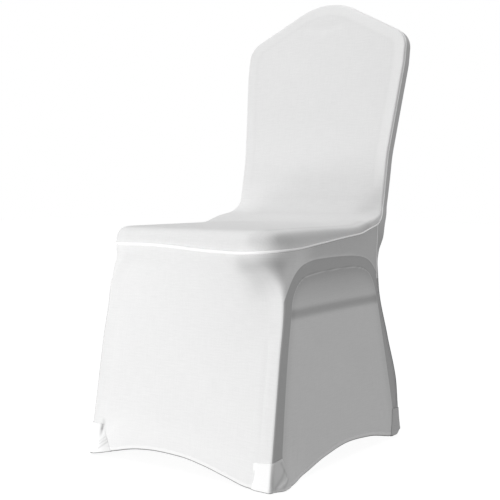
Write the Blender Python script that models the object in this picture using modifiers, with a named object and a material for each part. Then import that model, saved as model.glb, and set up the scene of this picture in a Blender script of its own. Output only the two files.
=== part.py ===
"""Stretch cover for a banquet chair: a hollow cloth shell with seams and foot pockets.

The cover stands as it does in use, pulled tight. The front faces -Y, +Z is up, and
the origin is on the floor below the middle of the cover's box.
"""
import bisect
import math

import bmesh
import bpy
from mathutils import Matrix, Vector

COLLECTION = "chair_cover"
CLOTH_WHITE = (0.86, 0.86, 0.87)
TRIM_WHITE = (0.90, 0.90, 0.91)
CLOTH_ROUGHNESS = 0.85

# Cloth, corded seams (as radii) and the clearance between pieces
CLOTH = 0.0016
GAP = 0.0003
SEAT_CORD = 0.0020
BACK_CORD = 0.0013
REAR_CORD = 0.0012
CORD_ROUNDNESS = 1
WELD = 0.00001

# Detail of the rounded outlines
ARC_STEP_DEGREES = 2.0

# Seat: front edge, top height, and where the cloth ramps up to the back
SEAT_FRONT_Y = -0.2466
SEAT_TOP_Z = 0.4535
RAMP_START = (0.0500, 0.4545)
RAMP_END = (0.1697, 0.4790)
RAMP_START_RADIUS = 0.150
RAMP_END_RADIUS = 0.024
SEAT_HALF_WIDTH = 0.2094
SEAT_CORNER_RADIUS = 0.060
SEAT_ROLL = 0.028
SEAT_CROWN = 0.004

# Junction of the seat, back and rear seams
JUNCTION_Y = 0.1210
JUNCTION_HALF_WIDTH = 0.2034
JUNCTION_RADIUS = 0.100
JUNCTION_DROP = 0.0140

# Back: it leans by BACK_SLOPE and ends in straight shoulders that meet in a round crown
CROWN_Z = 0.9400
BACK_SLOPE = 0.1878
WAIST_Z = 0.4950
WAIST_HALF_WIDTH = 0.1850
WAIST_RADIUS = 0.060
RIB_Z = 0.6000
RIB_HALF_WIDTH = 0.1847
RIB_RADIUS = 0.300
BROAD_Z = 0.7950
BROAD_HALF_WIDTH = 0.2028
BROAD_RADIUS = 0.150
SHOULDER_HALF_WIDTH = 0.2022
SHOULDER_RADIUS = 0.045
CROWN_PITCH = 0.507
CROWN_RADIUS = 0.148
BACK_ROLL = 0.0042
BACK_SEAM_DROP = 0.0065
BACK_CROWN = 0.003

# Where the wide roll of the seat narrows to that of the back, from the junction
ROLL_NARROWS_BEFORE = 0.110
ROLL_NARROWS_AFTER = 0.010

# Cloth that stays flat between the rolled edge and the corded seam
SEAT_EDGE_FLAT = 0.0010
BACK_EDGE_FLAT = 0.0005

# Seat seam: the drop from the seat's top to the seam along the side, and the sag in front
SIDE_DROP = (
    # distance from the front edge, drop
    (0.000, 0.0345),
    (0.060, 0.0340),
    (0.135, 0.0286),
    (0.255, 0.0190),
    (0.325, 0.0148),
)
FRONT_SAG = (
    # x, extra drop
    (-0.210, 0.0005),
    (-0.160, -0.0012),
    (-0.095, -0.0020),
    (-0.027, 0.0040),
    (0.043, 0.0085),
    (0.120, 0.0095),
    (0.170, 0.0057),
    (0.210, 0.0020),
)
FRONT_SAG_REACH = 0.070

# Skirt sections by height: where its uprights stand, and how the cloth bows between them
SKIRT = (
    # height, front y, front half width, corner radius, rear seam y, rear half width
    (0.000, -0.2804, 0.2175, 0.006, 0.2080, 0.2093),
    (0.022, -0.2769, 0.2171, 0.006, 0.2054, 0.2090),
    (0.070, -0.2693, 0.2162, 0.006, 0.1996, 0.2084),
    (0.117, -0.2618, 0.2153, 0.006, 0.1940, 0.2078),
    (0.222, -0.2451, 0.2133, 0.006, 0.1555, 0.2063),
    (0.330, -0.2280, 0.2113, 0.008, 0.1180, 0.2050),
    (0.352, -0.2282, 0.2112, 0.014, 0.1155, 0.2048),
    (0.376, -0.2340, 0.2106, 0.032, 0.1155, 0.2044),
    (0.394, -0.2415, 0.2094, 0.052, 0.1165, 0.2040),
    (0.408, -0.2466, 0.2094, 0.060, 0.1175, 0.2036),
    (0.457, -0.2466, 0.2094, 0.060, 0.1210, 0.2034),
)
SKIRT_BOW = (
    # height, inward bow of the front, inward bow of the sides
    (0.000, 0.0120, 0.0080),
    (0.100, 0.0105, 0.0075),
    (0.200, 0.0060, 0.0060),
    (0.290, -0.0030, 0.0045),
    (0.350, -0.0090, 0.0020),
    (0.385, -0.0060, 0.0000),
    (0.405, 0.0000, 0.0000),
)

# Columns of the cloth nets: close together on the uprights, evenly spread between them
UPRIGHT_STEPS = (0.008, 0.017, 0.026, 0.042)
UPRIGHT_BAND = 0.026
FRONT_SPANS = 4
SIDE_SPANS = 6
CORNER_SPANS = 4
JUNCTION_SPANS = 4
BACK_SPANS = 9
CROWN_SPANS = 8
ROLL_SPANS = 3
SKIRT_LEVELS = (
    # share of the way from the seat seam down to the hem
    0.0, 0.035, 0.075, 0.12, 0.17, 0.225, 0.30, 0.40, 0.50, 0.60, 0.70, 0.79, 0.865, 0.93, 0.97, 1.0,
)
TOP_FIT_SHARE = 0.25

# Hems, as heights over the floor
FRONT_HEM = (
    # x, height
    (-0.208, 0.0040),
    (-0.190, 0.0078),
    (-0.160, 0.0148),
    (-0.101, 0.0262),
    (-0.052, 0.0290),
    (0.002, 0.0275),
    (0.058, 0.0205),
    (0.113, 0.0105),
    (0.165, 0.0026),
    (0.200, 0.0024),
)
SIDE_HEM = (
    # y, height
    (-0.250, 0.0024),
    (-0.200, 0.0026),
    (-0.165, 0.0065),
    (-0.082, 0.0213),
    (0.005, 0.0294),
    (0.092, 0.0232),
    (0.160, 0.0095),
    (0.182, 0.0040),
    (0.210, 0.0024),
)
HEM_AT_FOOT = 0.0024
REAR_HEM_RISE = 0.0260

# Rear panel: its profile down the two sides and down the middle, where it hangs free
REAR_PROFILE = (
    # height, y at the sides, y in the middle
    (0.0000, 0.2170, 0.2010),
    (0.0220, 0.2144, 0.2000),
    (0.0700, 0.2086, 0.1970),
    (0.1170, 0.2030, 0.1930),
    (0.2220, 0.1645, 0.1790),
    (0.3300, 0.1270, 0.1650),
    (0.3700, 0.1245, 0.1640),
    (0.3980, 0.1360, 0.1660),
    (0.4280, 0.1650, 0.1720),
    (0.4530, 0.1785, 0.1800),
    (0.4780, 0.1925, 0.1925),
    (0.5390, 0.2090, 0.2090),
    (0.6140, 0.2240, 0.2240),
    (0.6900, 0.2385, 0.2385),
    (0.8100, 0.2615, 0.2615),
    (0.9400, 0.2843, 0.2843),
)
REAR_EDGE = (
    # height, half width of the rear panel where it turns forward to the seam
    (0.3500, 0.2048),
    (0.3700, 0.2030),
    (0.3980, 0.1990),
    (0.4280, 0.1940),
    (0.4530, 0.1900),
    (0.4780, 0.1870),
    (0.4950, 0.1850),
)
REAR_PARTS = (
    # node, height of its lower end, height of its upper end
    ("rear_panel_lower", 0.000, 0.360),
    ("rear_panel_middle", 0.360, 0.640),
    ("rear_panel_upper", 0.640, 1.000),
)
REAR_ROLL = 0.007
ROLL_SHARE = 0.6
REAR_SIDE_BAND = 0.030
REAR_SINK = 0.0035
REAR_SINK_REACH = 0.050

# Foot pockets: a wall outside the cloth, a sole, and a wall inside that closes round the foot
POCKET_WALL = 0.0014
POCKET_ROWS = 4
POCKET_COLUMNS = 2
POCKET_INNER_HEIGHT = 0.040
POCKET_INNER_ROWS = 2
POCKET_INNER_SPANS = 3
POCKET_REAR_REACH = 0.025
INNER_CLEAR = 0.0010
POCKETS = (
    # name, side, at the rear, height
    ("foot_pocket_front_right", 1, False, 0.054),
    ("foot_pocket_front_left", -1, False, 0.061),
    ("foot_pocket_rear_right", 1, True, 0.060),
    ("foot_pocket_rear_left", -1, True, 0.060),
)
REAR_CORD_END_Z = 0.0640


def smooth_step(value, start, end):
    """Zero before start, one after end, and an even curve between them."""
    share = min(max((value - start) / (end - start), 0.0), 1.0)
    return share * share * (3.0 - 2.0 * share)


def slope_at(keys, values, index):
    """Slope of a smooth curve at one row of a table, with no overshoot."""
    def secant(first):
        return (values[first + 1] - values[first]) / (keys[first + 1] - keys[first])
    if index == 0:
        return secant(0)
    if index == len(keys) - 1:
        return secant(index - 1)
    before = secant(index - 1)
    after = secant(index)
    if before * after <= 0.0:
        return 0.0
    return 2.0 * before * after / (before + after)


def smooth_value(rows, column, at):
    """A column of a table at any value of its first column, on a smooth curve."""
    keys = [row[0] for row in rows]
    values = [row[column] for row in rows]
    if at <= keys[0]:
        return values[0]
    if at >= keys[-1]:
        return values[-1]
    index = bisect.bisect_right(keys, at) - 1
    span = keys[index + 1] - keys[index]
    share = (at - keys[index]) / span
    rise = values[index + 1] - values[index]
    start = slope_at(keys, values, index) * span
    end = slope_at(keys, values, index + 1) * span
    bend = share * (1.0 - share)
    return values[index] + rise * share + bend * ((start - rise) * (1.0 - share) - (end - rise) * share)


class RoundedPath:
    """Straight lines in a plane whose corners are rounded by arcs, measured by length."""

    def __init__(self, corners):
        points = [Vector(corner[:2]) for corner in corners]
        self.points = [points[0]]
        self.marks = []
        for index in range(1, len(points) - 1):
            self.add_corner(points[index - 1], points[index], points[index + 1], corners[index][2])
        self.points.append(points[-1])
        self.distances = [0.0]
        for before, after in zip(self.points, self.points[1:]):
            self.distances.append(self.distances[-1] + (after - before).length)
        self.marks = [(self.distances[first], self.distances[last]) for first, last in self.marks]
        self.length = self.distances[-1]

    def add_corner(self, before, corner, after, radius):
        """Adds the arc of one corner, and marks where it starts and ends."""
        arrive = (corner - before).normalized()
        leave = (after - corner).normalized()
        turn = math.atan2(arrive.cross(leave), arrive.dot(leave))
        start = corner - arrive * radius * math.tan(abs(turn) / 2.0)
        centre = start + Vector((-arrive.y, arrive.x)) * math.copysign(radius, turn)
        steps = max(2, math.ceil(math.degrees(abs(turn)) / ARC_STEP_DEGREES))
        first = len(self.points)
        for step in range(steps + 1):
            spoke = Matrix.Rotation(turn * step / steps, 2) @ (start - centre)
            self.points.append(centre + spoke)
        self.marks.append((first, first + steps))

    def point(self, distance):
        """The point at a distance along the path, past its ends in a straight line."""
        index = bisect.bisect_right(self.distances, distance) - 1
        index = min(max(index, 0), len(self.points) - 2)
        span = self.distances[index + 1] - self.distances[index]
        share = (distance - self.distances[index]) / span
        return self.points[index].lerp(self.points[index + 1], share)

    def tangent(self, distance, reach=0.002):
        """The direction of the path near a distance along it."""
        return (self.point(distance + reach) - self.point(distance - reach)).normalized()


def front_profile():
    """The middle of the seat and the inside of the back, seen from the side as (y, z)."""
    crown_y = RAMP_END[0] + BACK_SLOPE * (CROWN_Z - RAMP_END[1])
    return RoundedPath((
        (SEAT_FRONT_Y, SEAT_TOP_Z),
        (*RAMP_START, RAMP_START_RADIUS),
        (*RAMP_END, RAMP_END_RADIUS),
        (crown_y, CROWN_Z),
    ))


PROFILE = front_profile()
BACK_STRETCH = math.hypot(1.0, BACK_SLOPE)


def along_seat(y):
    """Distance along the profile at a place on the seat."""
    level = RAMP_START[0] - SEAT_FRONT_Y
    ramp = math.hypot(RAMP_END[0] - RAMP_START[0], RAMP_END[1] - RAMP_START[1])
    share = max(y - RAMP_START[0], 0.0) / (RAMP_END[0] - RAMP_START[0])
    return min(y - SEAT_FRONT_Y, level) + ramp * share


def along_back(z):
    """Distance along the profile at a height on the back."""
    return PROFILE.length - (CROWN_Z - z) * BACK_STRETCH


def outline_path():
    """The edge of the seat and inside back laid flat, as (x, distance along the profile)."""
    pitch = math.atan(CROWN_PITCH)
    apex_z = CROWN_Z + CROWN_RADIUS * (1.0 / math.cos(pitch) - 1.0)
    shoulder_z = apex_z - CROWN_PITCH * SHOULDER_HALF_WIDTH
    half = (
        (SEAT_HALF_WIDTH, 0.0, SEAT_CORNER_RADIUS),
        (JUNCTION_HALF_WIDTH, along_seat(JUNCTION_Y), JUNCTION_RADIUS),
        (WAIST_HALF_WIDTH, along_back(WAIST_Z), WAIST_RADIUS),
        (RIB_HALF_WIDTH, along_back(RIB_Z), RIB_RADIUS),
        (BROAD_HALF_WIDTH, along_back(BROAD_Z), BROAD_RADIUS),
        (SHOULDER_HALF_WIDTH, along_back(shoulder_z), SHOULDER_RADIUS),
    )
    apex = (0.0, along_back(apex_z), CROWN_RADIUS)
    other = [(-x, distance, radius) for x, distance, radius in reversed(half)]
    return RoundedPath(((0.0, 0.0), *half, apex, *other, (0.0, 0.0)))


OUTLINE = outline_path()


def even(start, end, spans):
    """Places spread evenly from start to end, without the start."""
    return [start + (end - start) * (step + 1) / spans for step in range(spans)]


def between_uprights(length, spans):
    """Places along a side: close together near both ends, evenly spread between."""
    near = list(UPRIGHT_STEPS)
    far = [length - step for step in reversed(UPRIGHT_STEPS)]
    return near + even(near[-1], far[0], spans) + far[1:] + [length]


def half_front(length):
    """Places from the middle of the front to the start of its corner."""
    far = [length - step for step in reversed(UPRIGHT_STEPS)]
    return even(0.0, far[0], FRONT_SPANS) + far[1:] + [length]


def outline_stations():
    """Distances along the outline from the middle of the front over the crown and back."""
    corner, junction, waist, _, _, shoulder, apex = OUTLINE.marks[:7]
    junction_at = sum(junction) / 2.0
    waist_at = sum(waist) / 2.0
    half = [0.0] + half_front(corner[0])
    half += even(corner[0], corner[1], CORNER_SPANS)
    half += [corner[1] + place for place in between_uprights(junction_at - corner[1], SIDE_SPANS)]
    half += even(junction_at, waist_at, JUNCTION_SPANS)
    half += even(waist_at, shoulder[0], BACK_SPANS)
    half += even(shoulder[0], shoulder[1], CORNER_SPANS)
    half += even(shoulder[1], OUTLINE.length / 2.0, CROWN_SPANS)
    return half + [OUTLINE.length - place for place in reversed(half[1:-1])]


STATIONS = outline_stations()
COUNT = len(STATIONS)
FRONT_COUNT = FRONT_SPANS + len(UPRIGHT_STEPS)
CORNER_MID = FRONT_COUNT + CORNER_SPANS // 2
JUNCTION = FRONT_COUNT + CORNER_SPANS + SIDE_SPANS + 2 * len(UPRIGHT_STEPS)
SHOULDER_MID = JUNCTION + JUNCTION_SPANS + BACK_SPANS + CORNER_SPANS // 2


def seam_drop(x, distance):
    """Depth of the seam below the seat's top, or behind the face of the back."""
    junction_at = along_seat(JUNCTION_Y)
    side = smooth_value(SIDE_DROP, 1, distance)
    side += (JUNCTION_DROP - SIDE_DROP[-1][1]) * smooth_step(distance, SIDE_DROP[-1][0], junction_at)
    side += (BACK_SEAM_DROP - JUNCTION_DROP) * smooth_step(distance, junction_at, along_back(WAIST_Z))
    sag = smooth_value(FRONT_SAG, 1, x) * (1.0 - smooth_step(distance, 0.0, FRONT_SAG_REACH))
    return side + sag


def roll_at(distance):
    """Radius of the rolled edge: wide on the seat, narrow on the back."""
    junction_at = along_seat(JUNCTION_Y)
    share = smooth_step(distance, junction_at - ROLL_NARROWS_BEFORE, junction_at + ROLL_NARROWS_AFTER)
    return SEAT_ROLL + (BACK_ROLL - SEAT_ROLL) * share


def on_front_face(x, distance, depth=0.0, lift=0.0):
    """A point of the seat and inside back, from its place laid flat."""
    middle = PROFILE.point(distance)
    tangent = PROFILE.tangent(distance)
    place = middle + Vector((-tangent.y, tangent.x)) * (lift - depth)
    return Vector((x, place.x, place.y))


class Seam:
    """The seat and back seam: its points, and the flat places of the rolled edge inside it."""

    def __init__(self):
        self.edge = []
        self.inner = []
        self.points = []
        self.rolls = []
        for index, station in enumerate(STATIONS):
            place = OUTLINE.point(station)
            tangent = OUTLINE.tangent(station)
            inward = Vector((-tangent.y, tangent.x))
            drop = seam_drop(place.x, place.y)
            beside_cord = BACK_CORD + BACK_EDGE_FLAT
            if self.near_seat(index):
                beside_cord = SEAT_CORD + SEAT_EDGE_FLAT
            self.edge.append(place)
            self.inner.append(place + inward * roll_at(place.y))
            self.rolls.append(min(roll_at(place.y), drop - beside_cord - GAP))
            self.points.append(on_front_face(place.x, place.y, drop))

    def near_seat(self, index):
        """Whether a station is on the seat's part of the seam."""
        return min(index, COUNT - index) <= JUNCTION


SEAM = Seam()


def bezier(start, bend, end, share):
    """A point on the curve that rounds the corner at bend."""
    return start.lerp(bend, share).lerp(bend.lerp(end, share), share)


def coons(bottom, right, top, left):
    """Rows of points that fill four edges; bottom and top run one way, left and right up."""
    across = len(bottom) - 1
    up = len(right) - 1
    rows = []
    for j in range(up + 1):
        v = j / up
        row = []
        for i in range(across + 1):
            u = i / across
            ruled = bottom[i] * (1.0 - v) + top[i] * v + left[j] * (1.0 - u) + right[j] * u
            low = bottom[0] * (1.0 - u) + bottom[-1] * u
            high = top[0] * (1.0 - u) + top[-1] * u
            row.append(ruled - low * (1.0 - v) - high * v)
        rows.append(row)
    return rows


def new_object(name, mesh, colour):
    """Links a mesh as one named piece with its own material."""
    material = bpy.data.materials.new(name)
    material.use_nodes = True
    shader = material.node_tree.nodes["Principled BSDF"]
    shader.inputs["Base Color"].default_value = (*colour, 1.0)
    shader.inputs["Roughness"].default_value = CLOTH_ROUGHNESS
    mesh.materials.append(material)
    piece = bpy.data.objects.new(name, mesh)
    bpy.data.collections[COLLECTION].objects.link(piece)
    return piece


class Cloth:
    """An open net of four-sided faces that becomes one closed sheet of cloth."""

    def __init__(self, name):
        self.name = name
        self.net = bmesh.new()

    def vertices(self, points):
        """New points of the net."""
        return [self.net.verts.new(point) for point in points]

    def strip(self, lower, upper, closed=False):
        """Faces between two rows with as many points."""
        count = len(lower)
        for i in range(count if closed else count - 1):
            after = (i + 1) % count
            self.net.faces.new((lower[i], lower[after], upper[after], upper[i]))

    def turn_out(self, outward):
        """Turns all faces the way that has the first one look along outward."""
        self.net.faces.ensure_lookup_table()
        self.net.normal_update()
        first = self.net.faces[0]
        if first.normal.dot(Vector(outward)) < 0.0:
            bmesh.ops.reverse_faces(self.net, faces=self.net.faces[:])

    def between(self, name, low, high):
        """The part of the cloth between two heights, as a cloth of its own."""
        part = Cloth(name)
        part.net.free()
        part.net = self.net.copy()
        for height, way in ((low, -1.0), (high, 1.0)):
            bmesh.ops.bisect_plane(
                part.net,
                geom=part.net.verts[:] + part.net.edges[:] + part.net.faces[:],
                dist=WELD,
                plane_co=(0.0, 0.0, height),
                plane_no=(0.0, 0.0, way),
                clear_outer=True,
            )
        return part

    def finish(self, thickness, colour=CLOTH_WHITE):
        """Makes an object of the net, with the cloth's thickness on the inside."""
        mesh = bpy.data.meshes.new(self.name)
        self.net.to_mesh(mesh)
        self.net.free()
        mesh.shade_smooth()
        piece = new_object(self.name, mesh, colour)
        solid = piece.modifiers.new("thickness", "SOLIDIFY")
        solid.thickness = thickness
        solid.offset = -1.0
        solid.use_even_offset = True


def off_seam(index):
    """The step from the middle of a corded seam to the panel's edge beside it."""
    radius = SEAT_CORD if SEAM.near_seat(index) else BACK_CORD
    toward = (rolled_edge(index, 1.0) - SEAM.points[index]).normalized()
    return toward * (radius + GAP)


def seat_back_panel():
    """One cloth over the seat, up the inside of the back, and round their edges."""
    cloth = Cloth("seat_back_panel")
    def inner(first, last):
        return [SEAM.inner[index % COUNT] for index in range(first, last + 1)]
    rows = coons(
        inner(-CORNER_MID, CORNER_MID),
        inner(CORNER_MID, SHOULDER_MID),
        list(reversed(inner(SHOULDER_MID, COUNT - SHOULDER_MID))),
        list(reversed(inner(COUNT - SHOULDER_MID, COUNT - CORNER_MID))),
    )
    grid = [cloth.vertices([crowned(place) for place in row]) for row in rows]
    for lower, upper in zip(grid, grid[1:]):
        cloth.strip(lower, upper)
    right = [row[-1] for row in grid]
    left = [row[0] for row in grid]
    loop = grid[0][CORNER_MID:] + right[1:-1] + grid[-1][::-1] + left[-2:0:-1] + grid[0][:CORNER_MID]
    previous = loop
    for step in range(1, ROLL_SPANS + 1):
        points = [rolled_edge(index, step / ROLL_SPANS) for index in range(COUNT)]
        current = cloth.vertices(points)
        cloth.strip(current, previous, closed=True)
        previous = current
    points = [SEAM.points[index] + off_seam(index) for index in range(COUNT)]
    cloth.strip(cloth.vertices(points), previous, closed=True)
    cloth.turn_out((0.0, 0.0, 1.0))
    cloth.finish(CLOTH)


def crowned(place):
    """A place of the panel with the soft swell of the seat and of the back."""
    x, distance = place
    bend = along_seat(RAMP_END[0])
    across = max(0.0, 1.0 - (x / (SEAT_HALF_WIDTH - SEAT_ROLL)) ** 2)
    seat = SEAT_CROWN * bubble(distance, SEAT_ROLL, bend)
    back = BACK_CROWN * bubble(distance, bend, PROFILE.length)
    return on_front_face(x, distance, lift=across * (seat + back))


def bubble(value, start, end):
    """One in the middle of a stretch, and zero at its ends and beyond."""
    share = min(max((value - start) / (end - start), 0.0), 1.0)
    return 4.0 * share * (1.0 - share)


def rolled_edge(index, share):
    """A point where the cloth rolls over the edge of the seat or the back."""
    start = SEAM.inner[index]
    edge = SEAM.edge[index]
    corner = on_front_face(edge.x, edge.y)
    end = on_front_face(edge.x, edge.y, SEAM.rolls[index])
    return bezier(on_front_face(start.x, start.y), corner, end, share)


def skirt_column(index, z, out=0.0):
    """A point of the skirt's plan at a height, for a station from the middle of the front.

    A positive index is on the +X side. The point moves outward by out.
    """
    side = -1.0 if index < 0 else 1.0
    step = abs(index)
    front = smooth_value(SKIRT, 1, z)
    half = smooth_value(SKIRT, 2, z)
    radius = smooth_value(SKIRT, 3, z)
    rear = smooth_value(SKIRT, 4, z)
    rear_half = smooth_value(SKIRT, 5, z)
    flat = half - radius
    if step <= FRONT_COUNT:
        x = ([0.0] + half_front(flat))[step]
        bow = smooth_value(SKIRT_BOW, 1, z) * max(0.0, 1.0 - (x / (flat - UPRIGHT_BAND)) ** 2)
        return Vector((side * x, front + bow - out, z))
    if step <= FRONT_COUNT + CORNER_SPANS:
        angle = math.pi / 2.0 * (step - FRONT_COUNT) / CORNER_SPANS
        reach = radius + out
        x = flat + reach * math.sin(angle)
        return Vector((side * x, front + radius - reach * math.cos(angle), z))
    start = Vector((half, front + radius))
    run = Vector((rear_half, rear)) - start
    place = between_uprights(run.length, SIDE_SPANS)[step - FRONT_COUNT - CORNER_SPANS - 1]
    depth = smooth_value(SKIRT_BOW, 2, z)
    bow = depth * bubble(place, UPRIGHT_BAND, run.length - UPRIGHT_BAND)
    point = start + run * (place / run.length)
    return Vector((side * (point.x - bow + out), point.y, z))


def hem_height(index):
    """Height of the hem at a column of the skirt."""
    step = abs(index)
    foot = skirt_column(index, HEM_AT_FOOT)
    if step <= FRONT_COUNT:
        return smooth_value(FRONT_HEM, 1, foot.x)
    if step <= FRONT_COUNT + CORNER_SPANS:
        return HEM_AT_FOOT
    return smooth_value(SIDE_HEM, 1, foot.y)


def skirt_point(index, share):
    """A point of the skirt, from the seat seam (share 0) down to the hem (share 1)."""
    seam = SEAM.points[index % COUNT]
    top = seam.z - SEAT_CORD - GAP
    z = top + (hem_height(index) - top) * share
    fit = seam - skirt_column(index, top)
    fit.z = 0.0
    fade = 1.0 - smooth_step(share, 0.0, TOP_FIT_SHARE)
    return skirt_column(index, z) + fit * fade


def rear_seam_point(side, share):
    """A point of the upright seam behind the skirt, from its top down to the hem."""
    return skirt_point(side * JUNCTION, share)


def skirt():
    """One cloth round the front and the sides, from the seat seam to the hem."""
    cloth = Cloth("skirt")
    rows = []
    for share in SKIRT_LEVELS:
        points = [skirt_point(index, share) for index in range(-JUNCTION, JUNCTION + 1)]
        for end, beside in ((0, 1), (-1, -2)):
            forward = (points[beside] - points[end]).normalized()
            points[end] = points[end] + forward * (REAR_CORD + GAP)
        rows.append(cloth.vertices(points))
    for lower, upper in zip(rows, rows[1:]):
        cloth.strip(lower, upper)
    cloth.turn_out((-1.0, 0.0, 0.0))
    cloth.finish(CLOTH)


def rear_face(x, z):
    """A point on the outside of the back or on the rear of the skirt below it."""
    sides = smooth_value(REAR_PROFILE, 1, z)
    middle = smooth_value(REAR_PROFILE, 2, z)
    share = max(0.0, 1.0 - (x / (SEAT_HALF_WIDTH - REAR_SIDE_BAND)) ** 2)
    return Vector((x, sides + (middle - sides) * share, z))


def rear_stations():
    """The seams that edge the rear panel, up the +X side and down the other.

    Each row has a point of the seam and the step from it to the panel's edge.
    """
    rows = []
    for side in (1, -1):
        half = []
        for share in reversed(SKIRT_LEVELS):
            point = rear_seam_point(side, share)
            step = Vector((0.0, REAR_CORD + GAP, 0.0))
            if share == 0.0:
                step -= off_seam(JUNCTION)
            half.append((point, step))
        for index in range(JUNCTION + 1, COUNT // 2 + 1):
            index = index if side == 1 else COUNT - index
            half.append((SEAM.points[index], -off_seam(index)))
        rows += half if side == 1 else half[-2::-1]
    return rows


def rear_edge(stations):
    """Where the rear face turns forward to its seams, as (x, height), for each station."""
    sink_from = SEAM.points[JUNCTION].z
    edges = []
    for point, _ in stations:
        sink = REAR_SINK * smooth_step(point.z, sink_from, sink_from + REAR_SINK_REACH)
        half = abs(point.x)
        if REAR_EDGE[0][0] < point.z < REAR_EDGE[-1][0]:
            half = min(half, smooth_value(REAR_EDGE, 1, point.z))
        edges.append(Vector((math.copysign(half, point.x), point.z - sink)))
    return edges


def inside_edge(edges, inset):
    """The places of an open outline moved to the left of its direction."""
    inner = []
    for index, edge in enumerate(edges):
        before = edges[max(index - 1, 0)]
        after = edges[min(index + 1, len(edges) - 1)]
        along = (after - before).normalized()
        inner.append(edge + Vector((-along.y, along.x)) * inset)
    return inner


def rear_hem(spans, half):
    """Places along the rear hem as (x, height), close together at the sides."""
    near = [0.0] + list(UPRIGHT_STEPS[1:])
    far = [2.0 * half - place for place in reversed(near)]
    middle = even(near[-1], far[0], spans - 2 * (len(near) - 1))
    hem = []
    for place in near + middle + far[1:]:
        x = place - half
        rise = max(0.0, 1.0 - (x / (half - UPRIGHT_BAND)) ** 2)
        hem.append(Vector((x, HEM_AT_FOOT + REAR_HEM_RISE * rise)))
    return hem


def rear_panel():
    """One cloth down the outside of the back, from the crown to the rear hem.

    It is parted by height, so that the collision pieces of each part follow its curve.
    """
    cloth = Cloth("rear_panel")
    stations = rear_stations()
    edges = rear_edge(stations)
    inner = inside_edge(edges, REAR_ROLL)
    side_count = len(SKIRT_LEVELS) + SHOULDER_MID - JUNCTION
    right = inner[:side_count]
    left = inner[:-side_count - 1:-1]
    top = inner[side_count - 1:len(inner) - side_count + 1][::-1]
    rows = coons(rear_hem(len(top) - 1, inner[0].x), right, top, left)
    grid = [cloth.vertices([rear_face(*place) for place in row]) for row in rows]
    for lower, upper in zip(grid, grid[1:]):
        cloth.strip(lower, upper)
    previous = [row[-1] for row in grid] + grid[-1][-2:0:-1] + [row[0] for row in reversed(grid)]
    turned = []
    for (seam, step), edge in zip(stations, edges):
        corner = rear_face(*edge)
        reach = seam + step - corner
        turned.append(corner + reach.normalized() * min(REAR_ROLL, ROLL_SHARE * reach.length))
    for step in range(1, ROLL_SPANS + 1):
        points = []
        for start, edge, end in zip(inner, edges, turned):
            points.append(bezier(rear_face(*start), rear_face(*edge), end, step / ROLL_SPANS))
        current = cloth.vertices(points)
        cloth.strip(current, previous)
        previous = current
    cloth.strip(cloth.vertices([seam + step for seam, step in stations]), previous)
    cloth.turn_out((0.0, 1.0, 0.0))
    for name, low, high in REAR_PARTS:
        cloth.between(name, low + GAP / 2.0, high - GAP / 2.0).finish(CLOTH)
    cloth.net.free()


def cord(name, points, radius):
    """A corded seam: a round bead along a line of points."""
    curve = bpy.data.curves.new(name, "CURVE")
    curve.dimensions = "3D"
    curve.bevel_depth = radius
    curve.bevel_resolution = CORD_ROUNDNESS
    curve.use_fill_caps = True
    line = curve.splines.new("POLY")
    line.points.add(len(points) - 1)
    for target, point in zip(line.points, points):
        target.co = (*point, 1.0)
    guide = bpy.data.objects.new(name, curve)
    bpy.data.collections[COLLECTION].objects.link(guide)
    bpy.context.view_layer.update()
    mesh = bpy.data.meshes.new_from_object(guide.evaluated_get(bpy.context.evaluated_depsgraph_get()))
    bpy.data.objects.remove(guide)
    net = bmesh.new()
    net.from_mesh(mesh)
    bmesh.ops.remove_doubles(net, verts=net.verts[:], dist=WELD)
    bmesh.ops.recalc_face_normals(net, faces=net.faces[:])
    net.to_mesh(mesh)
    net.free()
    mesh.name = name
    mesh.shade_smooth()
    new_object(name, mesh, TRIM_WHITE)


def trimmed(points, start, end):
    """A line of points shortened at its two ends."""
    line = [point.copy() for point in points]
    line[0] += (line[1] - line[0]).normalized() * start
    line[-1] += (line[-2] - line[-1]).normalized() * end
    return line


def seams():
    """The corded seams, each ending just short of the junction of the three."""
    seat = [SEAM.points[index % COUNT] for index in range(-JUNCTION, JUNCTION + 1)]
    back = [SEAM.points[index] for index in range(JUNCTION, COUNT - JUNCTION + 1)]
    end = REAR_CORD + BACK_CORD
    cord("seat_seam", trimmed(seat, end, end), SEAT_CORD)
    cord("back_seam", trimmed(back, end, end), BACK_CORD)
    for name, side in (("rear_seam_right", 1), ("rear_seam_left", -1)):
        line = [rear_seam_point(side, share) for share in SKIRT_LEVELS]
        above = [point for point in line if point.z > REAR_CORD_END_Z]
        cord(name, trimmed(above, SEAT_CORD, 0.0), REAR_CORD)


def front_pocket_plan(side, z, out):
    """The outer wall of a front pocket at a height, round the corner of the skirt."""
    first = FRONT_COUNT - POCKET_COLUMNS
    last = FRONT_COUNT + CORNER_SPANS + POCKET_COLUMNS
    return [skirt_column(side * step, z, out) for step in range(first, last + 1)]


def rear_pocket_plan(side, z, out):
    """The outer wall of a rear pocket at a height, round the rear corner of the cover."""
    seam = skirt_column(side * JUNCTION, z, out)
    behind = rear_face(side * SEAT_HALF_WIDTH, z).y + out
    corner = Vector((seam.x, behind, z))
    roll = ROLL_SHARE * (behind - out - seam.y - REAR_CORD - GAP)
    start = corner - Vector((0.0, roll, 0.0))
    end = corner - Vector((side * REAR_ROLL, 0.0, 0.0))
    plan = [skirt_column(side * step, z, out) for step in (JUNCTION - POCKET_COLUMNS - 1, JUNCTION - 1)]
    plan += [seam, start]
    plan += [bezier(start, corner, end, step / ROLL_SPANS) for step in range(1, ROLL_SPANS + 1)]
    reaches = even(0.0, POCKET_REAR_REACH, POCKET_COLUMNS)
    plan += [end - Vector((side * reach, 0.0, 0.0)) for reach in reaches]
    return plan[::-1]


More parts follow.
